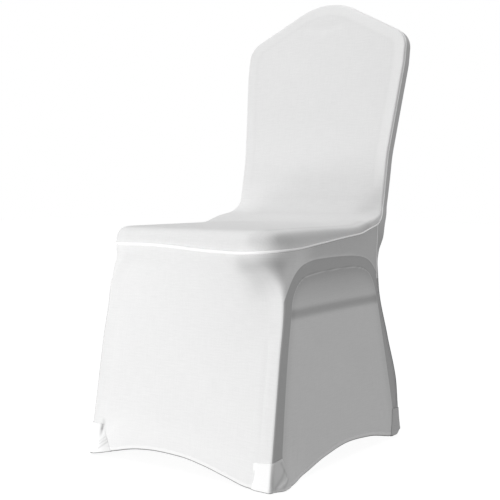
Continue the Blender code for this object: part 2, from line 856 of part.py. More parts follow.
def pocket_plan(side, at_rear, z):
    """The outer and the inner wall of a pocket at a height.

    The outer wall starts on the front or rear face and ends on the side of the cover.
    """
    plan = rear_pocket_plan if at_rear else front_pocket_plan
    outer = plan(side, z, GAP + POCKET_WALL)
    cloth = plan(side, z, -CLOTH - INNER_CLEAR)
    corner = Vector((outer[0].x, outer[-1].y, z))
    side_end = Vector((cloth[-1].x, outer[-1].y, z))
    face_end = Vector((outer[0].x, cloth[0].y, z))
    shares = [step / POCKET_INNER_SPANS for step in range(POCKET_INNER_SPANS + 1)]
    across = [side_end.lerp(corner, share) for share in shares]
    along = [corner.lerp(face_end, share) for share in shares[1:]]
    return outer, across + along


def foot_pocket(name, side, at_rear, height):
    """A reinforced pocket that wraps a foot: two walls and a flat sole between them."""
    cloth = Cloth(name)
    outer, inner = pocket_plan(side, at_rear, 0.0)
    middle = len(outer) // 2
    rows = coons(
        outer[:middle + 1],
        outer[middle:],
        inner[POCKET_INNER_SPANS::-1] + [outer[-1]],
        [outer[0]] + inner[:POCKET_INNER_SPANS - 1:-1],
    )
    grid = [cloth.vertices(row) for row in rows]
    for lower, upper in zip(grid, grid[1:]):
        cloth.strip(lower, upper)
    edge = grid[0] + [row[-1] for row in grid[1:]]
    for step in range(POCKET_ROWS):
        wall = pocket_plan(side, at_rear, height * (step + 1) / POCKET_ROWS)[0]
        current = cloth.vertices(wall)
        cloth.strip(current, edge)
        edge = current
    edge = grid[-1][-2::-1] + [row[0] for row in grid[-2:0:-1]]
    for step in range(POCKET_INNER_ROWS):
        wall = pocket_plan(side, at_rear, POCKET_INNER_HEIGHT * (step + 1) / POCKET_INNER_ROWS)[1]
        current = cloth.vertices(wall)
        cloth.strip(current, edge)
        edge = current
    cloth.turn_out((0.0, 0.0, -1.0))
    cloth.finish(POCKET_WALL, colour=TRIM_WHITE)


def main():
    """Builds every piece of the cover in one collection."""
    for old in list(bpy.data.objects):
        bpy.data.objects.remove(old)
    if COLLECTION not in bpy.data.collections:
        collection = bpy.data.collections.new(COLLECTION)
        bpy.context.scene.collection.children.link(collection)
    seat_back_panel()
    skirt()
    rear_panel()
    seams()
    for name, side, at_rear, height in POCKETS:
        foot_pocket(name, side, at_rear, height)


main()
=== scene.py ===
# %% [markdown]
# # A stretch cover for a banquet chair
#
# The part is a white knitted cover that is pulled tight and held by a pocket at each
# bottom corner. What makes it read as cloth is tension: long soft curves between the
# places that hold it, a thick seam round the seat, arched hems, and small creases by the
# pockets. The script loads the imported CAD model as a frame, makes each panel again as a
# fine sheet of cloth in the same place, and then sews, colours and lights it.

# %% Load the frame
import bisect
import math

import bpy
import numpy as np
from mathutils import Matrix, Vector


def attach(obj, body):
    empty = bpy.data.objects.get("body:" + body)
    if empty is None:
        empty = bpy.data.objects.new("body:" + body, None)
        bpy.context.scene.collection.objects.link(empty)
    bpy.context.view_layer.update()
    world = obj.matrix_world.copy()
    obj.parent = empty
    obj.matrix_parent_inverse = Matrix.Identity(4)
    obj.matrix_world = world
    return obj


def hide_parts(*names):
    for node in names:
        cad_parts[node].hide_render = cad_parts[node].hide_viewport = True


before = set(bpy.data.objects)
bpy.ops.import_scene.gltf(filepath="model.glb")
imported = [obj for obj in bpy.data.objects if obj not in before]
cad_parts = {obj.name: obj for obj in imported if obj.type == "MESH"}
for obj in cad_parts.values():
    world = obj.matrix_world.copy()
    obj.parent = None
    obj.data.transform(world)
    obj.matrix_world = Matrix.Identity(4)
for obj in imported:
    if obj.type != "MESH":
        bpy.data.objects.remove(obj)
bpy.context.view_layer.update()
print("nodes:", ", ".join(sorted(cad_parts)))


def add_object(name, data):
    """A new object in the scene."""
    added = bpy.data.objects.new(name, data)
    bpy.context.scene.collection.objects.link(added)
    return added


# %% [markdown]
# ## The camera
#
# The photograph is a three-quarter view from the front, a little above the seat. The
# lens and the place of the camera came from matching the corners of the cover, so the
# sides run together at the same rate as they do there.

# %% Camera
EYE = Vector((1.1414, -1.6022, 0.5235))
CAMERA_TURN = math.radians(36.1748)
CAMERA_PITCH = math.radians(3.5603)
CAMERA_ROLL = math.radians(-0.0447)
SENSOR_MM = 36.0
FOCAL_SHARE = 954.61 / 500.0

camera_data = bpy.data.cameras.new("camera")
camera_data.sensor_width = SENSOR_MM
camera_data.lens = SENSOR_MM * FOCAL_SHARE
camera = add_object("camera", camera_data)
looking = Matrix.Rotation(CAMERA_TURN, 4, "Z")
looking @= Matrix.Rotation(math.radians(90.0) - CAMERA_PITCH, 4, "X")
looking @= Matrix.Rotation(CAMERA_ROLL, 4, "Z")
camera.matrix_world = Matrix.Translation(EYE) @ looking
bpy.context.scene.camera = camera
print("lens", round(camera_data.lens, 2), "mm")

# %% [markdown]
# ## How the cover is laid out
#
# A stretched cover has few shapes of its own. Its outline is set by what holds it: the
# edge of the seat, the two sides of the back and the four uprights. These tables give
# its heights and widths there, in metres, and smooth curves run between them.

# %% Sizes where the cloth is held
# Seat: front edge, top height, and where the cloth ramps up to the back
SEAT_FRONT_Y = -0.2466
SEAT_TOP_Z = 0.4535
RAMP_START = (0.0500, 0.4545)
RAMP_END = (0.1697, 0.4790)
RAMP_START_RADIUS = 0.150
RAMP_END_RADIUS = 0.045
SEAT_HALF_WIDTH = 0.2094
SEAT_CORNER_RADIUS = 0.060
SEAT_ROLL = 0.028
SEAT_CROWN = 0.004

# Junction of the seat, back and rear seams
JUNCTION_Y = 0.1210
JUNCTION_HALF_WIDTH = 0.2034
JUNCTION_RADIUS = 0.100
JUNCTION_DROP = 0.0140

# Back: it leans by BACK_SLOPE and ends in straight shoulders that meet in a round crown
CROWN_Z = 0.9400
BACK_SLOPE = 0.1878
WAIST_Z = 0.4950
WAIST_HALF_WIDTH = 0.1850
WAIST_RADIUS = 0.060
RIB_Z = 0.6000
RIB_HALF_WIDTH = 0.1847
RIB_RADIUS = 0.300
BROAD_Z = 0.7950
BROAD_HALF_WIDTH = 0.2028
BROAD_RADIUS = 0.150
SHOULDER_HALF_WIDTH = 0.2022
SHOULDER_RADIUS = 0.045
CROWN_PITCH = 0.507
CROWN_RADIUS = 0.148
BACK_ROLL = 0.0042
BACK_SEAM_DROP = 0.0065
BACK_CROWN = 0.003

# Where the wide roll of the seat narrows to that of the back, from the junction
ROLL_NARROWS_BEFORE = 0.110
ROLL_NARROWS_AFTER = 0.010

# Cloth that stays flat between the rolled edge and the corded seam
SEAT_EDGE_FLAT = 0.0010
BACK_EDGE_FLAT = 0.0005

# Seat seam: the drop from the seat's top to the seam along the side, and the sag in front
SIDE_DROP = (
    # distance from the front edge, drop
    (0.000, 0.0345),
    (0.060, 0.0340),
    (0.135, 0.0286),
    (0.255, 0.0190),
    (0.325, 0.0148),
)
FRONT_SAG = (
    # x, extra drop
    (-0.210, -0.0020),
    (-0.160, -0.0016),
    (-0.095, -0.0022),
    (-0.027, 0.0000),
    (0.043, 0.0044),
    (0.120, 0.0062),
    (0.170, 0.0040),
    (0.210, 0.0015),
)
FRONT_SAG_REACH = 0.070

# Skirt sections by height: where its uprights stand, and how the cloth bows between them
SKIRT = (
    # height, front y, front half width, corner radius, rear seam y, rear half width
    (0.000, -0.2804, 0.2175, 0.006, 0.2080, 0.2093),
    (0.022, -0.2769, 0.2171, 0.006, 0.2054, 0.2090),
    (0.070, -0.2693, 0.2162, 0.006, 0.1996, 0.2084),
    (0.117, -0.2618, 0.2153, 0.006, 0.1940, 0.2078),
    (0.222, -0.2451, 0.2133, 0.006, 0.1555, 0.2063),
    (0.330, -0.2280, 0.2113, 0.008, 0.1180, 0.2050),
    (0.352, -0.2282, 0.2112, 0.014, 0.1155, 0.2048),
    (0.376, -0.2340, 0.2106, 0.032, 0.1155, 0.2044),
    (0.394, -0.2415, 0.2094, 0.052, 0.1165, 0.2040),
    (0.408, -0.2466, 0.2094, 0.060, 0.1175, 0.2036),
    (0.457, -0.2466, 0.2094, 0.060, 0.1210, 0.2034),
)
SKIRT_BOW = (
    # height, inward bow of the front, inward bow of the sides
    (0.000, 0.0120, 0.0080),
    (0.100, 0.0105, 0.0075),
    (0.200, 0.0060, 0.0060),
    (0.290, -0.0030, 0.0045),
    (0.350, -0.0090, 0.0020),
    (0.385, -0.0060, 0.0000),
    (0.405, 0.0000, 0.0000),
)

# Columns of the cloth nets: close together on the uprights, evenly spread between them
UPRIGHT_STEPS = (0.008, 0.017, 0.026, 0.042)
UPRIGHT_BAND = 0.026
FRONT_SPANS = 4
SIDE_SPANS = 6
CORNER_SPANS = 4
JUNCTION_SPANS = 4
BACK_SPANS = 9
CROWN_SPANS = 8
TOP_FIT_SHARE = 0.25

# Hems, as heights over the floor
FRONT_HEM = (
    # x, height
    (-0.208, 0.0040),
    (-0.190, 0.0078),
    (-0.160, 0.0148),
    (-0.101, 0.0262),
    (-0.052, 0.0290),
    (0.002, 0.0275),
    (0.058, 0.0205),
    (0.113, 0.0105),
    (0.165, 0.0026),
    (0.200, 0.0024),
)
SIDE_HEM = (
    # y, height
    (-0.250, 0.0024),
    (-0.200, 0.0026),
    (-0.165, 0.0065),
    (-0.082, 0.0213),
    (0.005, 0.0294),
    (0.092, 0.0232),
    (0.160, 0.0095),
    (0.182, 0.0040),
    (0.210, 0.0024),
)
HEM_AT_FOOT = 0.0024
REAR_HEM_RISE = 0.0260

# Rear panel: its profile down the two sides and down the middle, where it hangs free
REAR_PROFILE = (
    # height, y at the sides, y in the middle
    (0.0000, 0.2170, 0.2010),
    (0.0220, 0.2144, 0.2000),
    (0.0700, 0.2086, 0.1970),
    (0.1170, 0.2030, 0.1930),
    (0.2220, 0.1645, 0.1790),
    (0.3300, 0.1270, 0.1650),
    (0.3700, 0.1245, 0.1640),
    (0.3980, 0.1360, 0.1660),
    (0.4280, 0.1650, 0.1720),
    (0.4530, 0.1785, 0.1800),
    (0.4780, 0.1925, 0.1925),
    (0.5390, 0.2090, 0.2090),
    (0.6140, 0.2240, 0.2240),
    (0.6900, 0.2385, 0.2385),
    (0.8100, 0.2615, 0.2615),
    (0.9400, 0.2843, 0.2843),
)
REAR_EDGE = (
    # height, half width of the rear panel where it turns forward to the seam
    (0.3500, 0.2048),
    (0.3700, 0.2030),
    (0.3980, 0.1990),
    (0.4280, 0.1940),
    (0.4530, 0.1900),
    (0.4780, 0.1870),
    (0.4950, 0.1850),
)
REAR_ROLL = 0.007
ROLL_SHARE = 0.6
REAR_SIDE_BAND = 0.030
REAR_SINK = 0.0035
REAR_SINK_REACH = 0.050
print("crown", CROWN_Z, "seat", SEAT_TOP_Z)

# %% [markdown]
# ## Curves through the tables
#
# A cloth edge bends smoothly and never overshoots, so each table is read with a curve
# whose slope is the gentler of the slopes beside it. The outline of the seat and the
# back is drawn flat first, like a paper pattern: straight lines with rounded corners.

# %% Smooth curves and rounded outlines
ARC_STEP_DEGREES = 2.0
TANGENT_REACH = 0.002


def smooth_step(value, start, end):
    """Zero before start, one after end, and an even curve between them."""
    share = min(max((value - start) / (end - start), 0.0), 1.0)
    return share * share * (3.0 - 2.0 * share)


def slope_at(keys, values, index):
    """Slope of a smooth curve at one row of a table, with no overshoot."""
    def secant(first):
        return (values[first + 1] - values[first]) / (keys[first + 1] - keys[first])
    if index == 0:
        return secant(0)
    if index == len(keys) - 1:
        return secant(index - 1)
    before = secant(index - 1)
    after = secant(index)
    if before * after <= 0.0:
        return 0.0
    return 2.0 * before * after / (before + after)


def smooth_value(rows, column, at):
    """A column of a table at any value of its first column, on a smooth curve."""
    keys = [row[0] for row in rows]
    values = [row[column] for row in rows]
    if at <= keys[0]:
        return values[0]
    if at >= keys[-1]:
        return values[-1]
    index = bisect.bisect_right(keys, at) - 1
    span = keys[index + 1] - keys[index]
    share = (at - keys[index]) / span
    rise = values[index + 1] - values[index]
    start = slope_at(keys, values, index) * span
    end = slope_at(keys, values, index + 1) * span
    bend = (start - rise) * (1.0 - share) - (end - rise) * share
    return values[index] + rise * share + share * (1.0 - share) * bend


class RoundedPath:
    """Straight lines in a plane whose corners are rounded by arcs, measured by length."""

    def __init__(self, corners):
        points = [Vector(corner[:2]) for corner in corners]
        self.points = [points[0]]
        self.marks = []
        for index in range(1, len(points) - 1):
            self.add_corner(points[index - 1], points[index], points[index + 1], corners[index][2])
        self.points.append(points[-1])
        self.distances = [0.0]
        for before, after in zip(self.points, self.points[1:]):
            self.distances.append(self.distances[-1] + (after - before).length)
        self.marks = [(self.distances[first], self.distances[last]) for first, last in self.marks]
        self.length = self.distances[-1]

    def add_corner(self, before, corner, after, radius):
        """Adds the arc of one corner, and marks where it starts and ends."""
        arrive = (corner - before).normalized()
        leave = (after - corner).normalized()
        turn = math.atan2(arrive.cross(leave), arrive.dot(leave))
        start = corner - arrive * radius * math.tan(abs(turn) / 2.0)
        centre = start + Vector((-arrive.y, arrive.x)) * math.copysign(radius, turn)
        steps = max(2, math.ceil(math.degrees(abs(turn)) / ARC_STEP_DEGREES))
        first = len(self.points)
        for step in range(steps + 1):
            spoke = Matrix.Rotation(turn * step / steps, 2) @ (start - centre)
            self.points.append(centre + spoke)
        self.marks.append((first, first + steps))

    def point(self, distance):
        """The point at a distance along the path, past its ends in a straight line."""
        index = bisect.bisect_right(self.distances, distance) - 1
        index = min(max(index, 0), len(self.points) - 2)
        span = self.distances[index + 1] - self.distances[index]
        share = (distance - self.distances[index]) / span
        return self.points[index].lerp(self.points[index + 1], share)

    def tangent(self, distance):
        """The direction of the path near a distance along it."""
        after = self.point(distance + TANGENT_REACH)
        return (after - self.point(distance - TANGENT_REACH)).normalized()


def front_profile():
    """The middle of the seat and the inside of the back, seen from the side as (y, z)."""
    crown_y = RAMP_END[0] + BACK_SLOPE * (CROWN_Z - RAMP_END[1])
    return RoundedPath((
        (SEAT_FRONT_Y, SEAT_TOP_Z),
        (*RAMP_START, RAMP_START_RADIUS),
        (*RAMP_END, RAMP_END_RADIUS),
        (crown_y, CROWN_Z),
    ))


PROFILE = front_profile()
BACK_STRETCH = math.hypot(1.0, BACK_SLOPE)


def along_seat(y):
    """Distance along the profile at a place on the seat."""
    level = RAMP_START[0] - SEAT_FRONT_Y
    ramp = math.hypot(RAMP_END[0] - RAMP_START[0], RAMP_END[1] - RAMP_START[1])
    share = max(y - RAMP_START[0], 0.0) / (RAMP_END[0] - RAMP_START[0])
    return min(y - SEAT_FRONT_Y, level) + ramp * share


def along_back(z):
    """Distance along the profile at a height on the back."""
    return PROFILE.length - (CROWN_Z - z) * BACK_STRETCH


def outline_path():
    """The edge of the seat and inside back laid flat, as (x, distance along the profile)."""
    pitch = math.atan(CROWN_PITCH)
    apex_z = CROWN_Z + CROWN_RADIUS * (1.0 / math.cos(pitch) - 1.0)
    shoulder_z = apex_z - CROWN_PITCH * SHOULDER_HALF_WIDTH
    half = (
        (SEAT_HALF_WIDTH, 0.0, SEAT_CORNER_RADIUS),
        (JUNCTION_HALF_WIDTH, along_seat(JUNCTION_Y), JUNCTION_RADIUS),
        (WAIST_HALF_WIDTH, along_back(WAIST_Z), WAIST_RADIUS),
        (RIB_HALF_WIDTH, along_back(RIB_Z), RIB_RADIUS),
        (BROAD_HALF_WIDTH, along_back(BROAD_Z), BROAD_RADIUS),
        (SHOULDER_HALF_WIDTH, along_back(shoulder_z), SHOULDER_RADIUS),
    )
    apex = (0.0, along_back(apex_z), CROWN_RADIUS)
    other = [(-x, distance, radius) for x, distance, radius in reversed(half)]
    return RoundedPath(((0.0, 0.0), *half, apex, *other, (0.0, 0.0)))


OUTLINE = outline_path()


def even(start, end, spans):
    """Places spread evenly from start to end, without the start."""
    return [start + (end - start) * (step + 1) / spans for step in range(spans)]


def between_uprights(length, spans):
    """Places along a side: close together near both ends, evenly spread between."""
    near = list(UPRIGHT_STEPS)
    far = [length - step for step in reversed(UPRIGHT_STEPS)]
    return near + even(near[-1], far[0], spans) + far[1:] + [length]


def half_front(length):
    """Places from the middle of the front to the start of its corner."""
    far = [length - step for step in reversed(UPRIGHT_STEPS)]
    return even(0.0, far[0], FRONT_SPANS) + far[1:] + [length]


def outline_stations():
    """Distances along the outline from the middle of the front over the crown and back."""
    corner, junction, waist, _, _, shoulder, apex = OUTLINE.marks[:7]
    junction_at = sum(junction) / 2.0
    waist_at = sum(waist) / 2.0
    half = [0.0] + half_front(corner[0])
    half += even(corner[0], corner[1], CORNER_SPANS)
    half += [corner[1] + place for place in between_uprights(junction_at - corner[1], SIDE_SPANS)]
    half += even(junction_at, waist_at, JUNCTION_SPANS)
    half += even(waist_at, shoulder[0], BACK_SPANS)
    half += even(shoulder[0], shoulder[1], CORNER_SPANS)
    half += even(shoulder[1], OUTLINE.length / 2.0, CROWN_SPANS)
    return half + [OUTLINE.length - place for place in reversed(half[1:-1])]


STATIONS = outline_stations()
COUNT = len(STATIONS)
FRONT_COUNT = FRONT_SPANS + len(UPRIGHT_STEPS)
CORNER_MID = FRONT_COUNT + CORNER_SPANS // 2
JUNCTION = FRONT_COUNT + CORNER_SPANS + SIDE_SPANS + 2 * len(UPRIGHT_STEPS)
SHOULDER_MID = JUNCTION + JUNCTION_SPANS + BACK_SPANS + CORNER_SPANS // 2


def seam_drop(x, distance):
    """Depth of the seam below the seat's top, or behind the face of the back."""
    junction_at = along_seat(JUNCTION_Y)
    last_at, last_drop = SIDE_DROP[-1]
    side = smooth_value(SIDE_DROP, 1, distance)
    side += (JUNCTION_DROP - last_drop) * smooth_step(distance, last_at, junction_at)
    to_back = smooth_step(distance, junction_at, along_back(WAIST_Z))
    side += (BACK_SEAM_DROP - JUNCTION_DROP) * to_back
    sag = smooth_value(FRONT_SAG, 1, x) * (1.0 - smooth_step(distance, 0.0, FRONT_SAG_REACH))
    return side + sag


def roll_at(distance):
    """Radius of the rolled edge: wide on the seat, narrow on the back."""
    past = distance - along_seat(JUNCTION_Y)
    share = smooth_step(past, -ROLL_NARROWS_BEFORE, ROLL_NARROWS_AFTER)
    return SEAT_ROLL + (BACK_ROLL - SEAT_ROLL) * share


def on_front_face(x, distance, depth=0.0, lift=0.0):
    """A point of the seat and inside back, from its place laid flat."""
    middle = PROFILE.point(distance)
    tangent = PROFILE.tangent(distance)
    place = middle + Vector((-tangent.y, tangent.x)) * (lift - depth)
    return Vector((x, place.x, place.y))


print("outline", round(OUTLINE.length, 3), "m round the seat and the back")

# %% [markdown]
# ## Finer stations
#
# Creases need points a few millimetres apart, so every stretch between two stations is
# cut again, more often where it is long. A place on the cover is then a fractional
# station, and the same places serve the seat panel, the skirt and the seams, so the
# sewn edges meet point for point.

# %% Fine stations
SPANS_IN_A_STRETCH = (
    # stretches, and fine spans in each: front, upright, corner, upright, side, upright,
    # junction, back, shoulder, crown
    (FRONT_SPANS, 10),
    (len(UPRIGHT_STEPS), 3),
    (CORNER_SPANS, 4),
    (len(UPRIGHT_STEPS), 3),
    (SIDE_SPANS, 12),
    (len(UPRIGHT_STEPS), 3),
    (JUNCTION_SPANS, 5),
    (BACK_SPANS, 9),
    (CORNER_SPANS, 6),
    (CROWN_SPANS, 6),
)


def fine_stations():
    """Fractional stations once round the outline, from the middle of the front."""
    half = [0.0]
    for stretches, spans in SPANS_IN_A_STRETCH:
        for _ in range(stretches):
            start = round(half[-1])
            half += [start + (step + 1) / spans for step in range(spans)]
    return half + [COUNT - place for place in reversed(half[1:-1])]


FINE = fine_stations()
FINE_COUNT = len(FINE)
FINE_CORNER_MID = FINE.index(CORNER_MID)
FINE_JUNCTION = FINE.index(JUNCTION)
FINE_SHOULDER_MID = FINE.index(SHOULDER_MID)
print("fine stations", FINE_COUNT)


def between(values, place):
    """A value of a list at a fractional place, between its neighbours."""
    first = min(int(place), len(values) - 2)
    return values[first] + (values[first + 1] - values[first]) * (place - first)


# %% [markdown]
# ## The corded seam
#
# One seam runs round the seat, and another round the back. The seat panel rolls over the
# edge before it reaches them. The roll is wide on the thick seat and narrow on the thin
# back.

# %% Seam points
class Seam:
    """Points of the seam, and the flat places of the rolled edge inside it."""

    def __init__(self):
        self.edge = []
        self.inner = []
        self.points = []
        self.rolls = []
        around = STATIONS + [OUTLINE.length]
        for place in FINE:
            station = between(around, place)
            flat = OUTLINE.point(station)
            tangent = OUTLINE.tangent(station)
            inward = Vector((-tangent.y, tangent.x))
            drop = seam_drop(flat.x, flat.y)
            beside = SEAT_EDGE_FLAT if min(place, COUNT - place) <= JUNCTION else BACK_EDGE_FLAT
            self.edge.append(flat)
            self.inner.append(flat + inward * roll_at(flat.y))
            self.rolls.append(min(roll_at(flat.y), drop - beside))
            self.points.append(on_front_face(flat.x, flat.y, drop))


SEAM = Seam()
print("seam at the front corner", [round(c, 4) for c in SEAM.points[FINE_CORNER_MID]])

# %% [markdown]
# ## Cloth as a net
#
# Each panel is a net of four-sided faces. Two edges that face each other have as many
# points, and the points between them are blended from all four edges (a Coons patch).
# The net is given a UV map in metres, so that the knit has one size on every panel.

# %% Nets of cloth
def bezier(start, bend, end, share):
    """A point on the curve that rounds the corner at bend."""
    return start.lerp(bend, share).lerp(bend.lerp(end, share), share)


def coons(bottom, right, top, left):
    """Rows of points that fill four edges; bottom and top run one way, left and right up."""
    edges = (bottom, right, top, left)
    bottom, right, top, left = (np.array([point[:] for point in edge]) for edge in edges)
    u = np.linspace(0.0, 1.0, len(bottom))[None, :, None]
    v = np.linspace(0.0, 1.0, len(right))[:, None, None]
    ruled = bottom[None] * (1 - v) + top[None] * v
    ruled = ruled + left[:, None] * (1 - u) + right[:, None] * u
    low = bottom[0] * (1 - u) + bottom[-1] * u
    high = top[0] * (1 - u) + top[-1] * u
    return ruled - low * (1 - v) - high * v


class Net:
    """Points, faces and flat places of a cloth that grows by strips."""

    def __init__(self):
        self.points = []
        self.flat = []
        self.faces = []

    def add(self, points, flat):
        """New points with their flat places; gives their numbers."""
        first = len(self.points)
        self.points += [tuple(point) for point in points]
        self.flat += [tuple(place) for place in flat]
        return list(range(first, len(self.points)))

    def strip(self, lower, upper, closed=False):
        """Faces between two rows with as many points."""
        count = len(lower)
        for i in range(count if closed else count - 1):
            after = (i + 1) % count
            self.faces.append((lower[i], lower[after], upper[after], upper[i]))

    def join(self, rows, closed=False):
        """Faces between each row and the next."""
        for lower, upper in zip(rows, rows[1:]):
            self.strip(lower, upper, closed)

    def grow(self, previous, points, flat, closed=False):
        """A new row beyond an edge of the cloth; gives its numbers."""
        current = self.add(points, flat)
        self.strip(current, previous, closed)
        return current

    def mesh(self, name, outward):
        """The net as a mesh whose first face looks along outward."""
        mesh = bpy.data.meshes.new(name)
        mesh.from_pydata(self.points, [], self.faces)
        mesh.update()
        if mesh.polygons[0].normal.dot(Vector(outward)) < 0.0:
            mesh.flip_normals()
        lay_uv(mesh, self.flat)
        mesh.shade_smooth()
        return mesh


def lay_uv(mesh, flat):
    """Gives a mesh a UV map from the flat place of each of its points."""
    corners = np.zeros(len(mesh.loops), np.int32)
    mesh.loops.foreach_get("vertex_index", corners)
    places = np.array(flat, np.float32)[corners]
    mesh.uv_layers.new(name="cloth").data.foreach_set("uv", places.ravel())


def mesh_points(mesh, what="co"):
    """Places (or normals) of a mesh's points as rows of three."""
    values = np.zeros(len(mesh.vertices) * 3)
    mesh.vertices.foreach_get(what, values)
    return values.reshape(-1, 3)


CLOTH_THICKNESS = 0.0009


def cloth_piece(name, mesh):
    """A panel as an object, with the thickness of the knit on its inside."""
    piece = add_object(name, mesh)
    solid = piece.modifiers.new("thickness", "SOLIDIFY")
    solid.thickness = CLOTH_THICKNESS
    solid.offset = -1.0
    print(name, len(mesh.vertices), "points")
    return piece


# %% [markdown]
# ## Folds
#
# A stretched cloth has no big folds. It has soft ridges and troughs a few tenths of a
# millimetre to a few millimetres deep, that start where something holds it. Each is laid
# along a line on the front, the side, the seat or the back, and fades at its ends.

# %% Soft ridges and troughs
FACING = {
    # face: the two axes that it is seen along, and the direction that it looks
    "front": ((0, 2), (0.0, -1.0, 0.0)),
    "right side": ((1, 2), (1.0, 0.0, 0.0)),
    "left side": ((1, 2), (-1.0, 0.0, 0.0)),
    "seat": ((0, 1), (0.0, 0.0, 1.0)),
    "back": ((0, 2), (0.0, -1.0, 0.0)),
    "rear": ((0, 2), (0.0, 1.0, 0.0)),
}


FOLD_ENDS = 0.08
FOLD_FULLNESS = 0.7
FOLD_FACING = 0.35


def along_line(places, start, end):
    """How far along a line each place lies, from 0 to 1, and its distance to the line."""
    line = np.array(end) - np.array(start)
    from_start = places - np.array(start)
    share = np.clip(from_start @ line / (line @ line), 0.0, 1.0)
    return share, np.linalg.norm(from_start - share[:, None] * line, axis=1)


def soft_lines(mesh, lines):
    """For each soft line: its strength at each point, the share along it, and the facing."""
    points = mesh_points(mesh)
    normals = mesh_points(mesh, "normal")
    for face, rows in lines.items():
        axes, looks = FACING[face]
        for *ends, width, amount in rows:
            share, away = along_line(points[:, axes], ends[:2], ends[2:])
            yield amount * np.exp(-((away / width) ** 2)), share, normals @ np.array(looks)


def lay_folds(mesh, folds):
    """Moves the points of a cloth along their normals to raise ridges (or troughs)."""
    rise = np.zeros(len(mesh.vertices))
    for height, share, facing in soft_lines(mesh, folds):
        fade = np.sin(np.pi * (FOLD_ENDS + (1.0 - 2.0 * FOLD_ENDS) * share)) ** FOLD_FULLNESS
        facing = np.clip(facing, 0.0, 1.0)
        rise += height * fade * np.where(facing > FOLD_FACING, facing, 0.0)
    points = mesh_points(mesh) + mesh_points(mesh, "normal") * rise[:, None]
    mesh.vertices.foreach_set("co", points.ravel())
    mesh.update()


# %% [markdown]
# ## The seat and the inside of the back
#
# One cloth covers the seat, climbs the back and ends in the crown. It swells a little
# over the padding, rolls over the edge and is sewn into the corded seam.

# %% Seat and back cloth
def bubble(value, start, end):
    """One in the middle of a stretch, and zero at its ends and beyond."""
    share = min(max((value - start) / (end - start), 0.0), 1.0)
    return 4.0 * share * (1.0 - share)


def crowned(x, distance):
    """A place of the panel with the soft swell of the seat and of the back."""
    bend = along_seat(RAMP_END[0])
    across = max(0.0, 1.0 - (x / (SEAT_HALF_WIDTH - SEAT_ROLL)) ** 2)
    seat = SEAT_CROWN * bubble(distance, SEAT_ROLL, bend)
    back = BACK_CROWN * bubble(distance, bend, PROFILE.length)
    return on_front_face(x, distance, lift=across * (seat + back))


EDGE_ROWS = 8
TUCK_ROWS = 3
SEAT_ROLL_LENGTH = 1.3


def roll_over(net, previous, inner, edges, curves, seams, length, tuck_rows, closed=False):
    """Rolls a cloth over its edge, and takes it on from there to its seam.

    Each curve is the start, the bend and the end of the roll at one point of the edge. The
    roll is longer than its flat width by the factor length.
    """
    outward = [edge - inside for edge, inside in zip(edges, inner)]
    for row in range(1, EDGE_ROWS + 1):
        share = row / EDGE_ROWS
        points = [bezier(*curve, share) for curve in curves]
        flat = [inside + out * (length * share) for inside, out in zip(inner, outward)]
        previous = net.grow(previous, points, flat, closed)
    for row in range(1, tuck_rows + 1):
        share = row / tuck_rows
        points = []
        flat = []
        for inside, out, curve, seam in zip(inner, outward, curves, seams):
            points.append(curve[2].lerp(seam, share))
            reach = (seam - curve[2]).length * share
            flat.append(inside + out * length + out.normalized() * reach)
        previous = net.grow(previous, points, flat, closed)


def seat_back_net():
    """The net of the seat and back cloth."""
    net = Net()

    def inner(first, last):
        return [SEAM.inner[index % FINE_COUNT] for index in range(first, last + 1)]

    corner = FINE_CORNER_MID
    shoulder = FINE_SHOULDER_MID
    rows = coons(
        inner(-corner, corner),
        inner(corner, shoulder),
        inner(shoulder, FINE_COUNT - shoulder)[::-1],
        inner(FINE_COUNT - shoulder, FINE_COUNT - corner)[::-1],
    )
    grid = [net.add([crowned(*place) for place in row], row) for row in rows.tolist()]
    net.join(grid)
    right = [row[-1] for row in grid]
    left = [row[0] for row in grid]
    rim = grid[0][corner:] + right[1:-1] + grid[-1][::-1] + left[-2:0:-1] + grid[0][:corner]
    curves = []
    for inside, edge, roll in zip(SEAM.inner, SEAM.edge, SEAM.rolls):
        curves.append((on_front_face(*inside), on_front_face(*edge), on_front_face(*edge, roll)))
    flat_edges = (SEAM.inner, SEAM.edge)
    roll_over(net, rim, *flat_edges, curves, SEAM.points, SEAT_ROLL_LENGTH, TUCK_ROWS, True)
    return net


seat_back_mesh = seat_back_net().mesh("seat_back_cloth", (0.0, 0.0, 1.0))
seat_back_cloth = cloth_piece("seat_back_cloth", seat_back_mesh)

# %% [markdown]
# ## The skirt
#
# The skirt is one cloth round the front and the two sides. Its front corners are tight
# and square, so the cloth bows inwards between them near the hem, and outwards under the
# round corners of the seat.

# %% Skirt cloth
LEFT_OUT = (
    # height, how much further out the left side stands than the right
    (0.000, 0.0045),
    (0.060, 0.0058),
    (0.240, 0.0062),
    (0.320, 0.0050),
    (0.360, 0.0015),
    (0.390, 0.0000),
    (0.480, 0.0000),
)


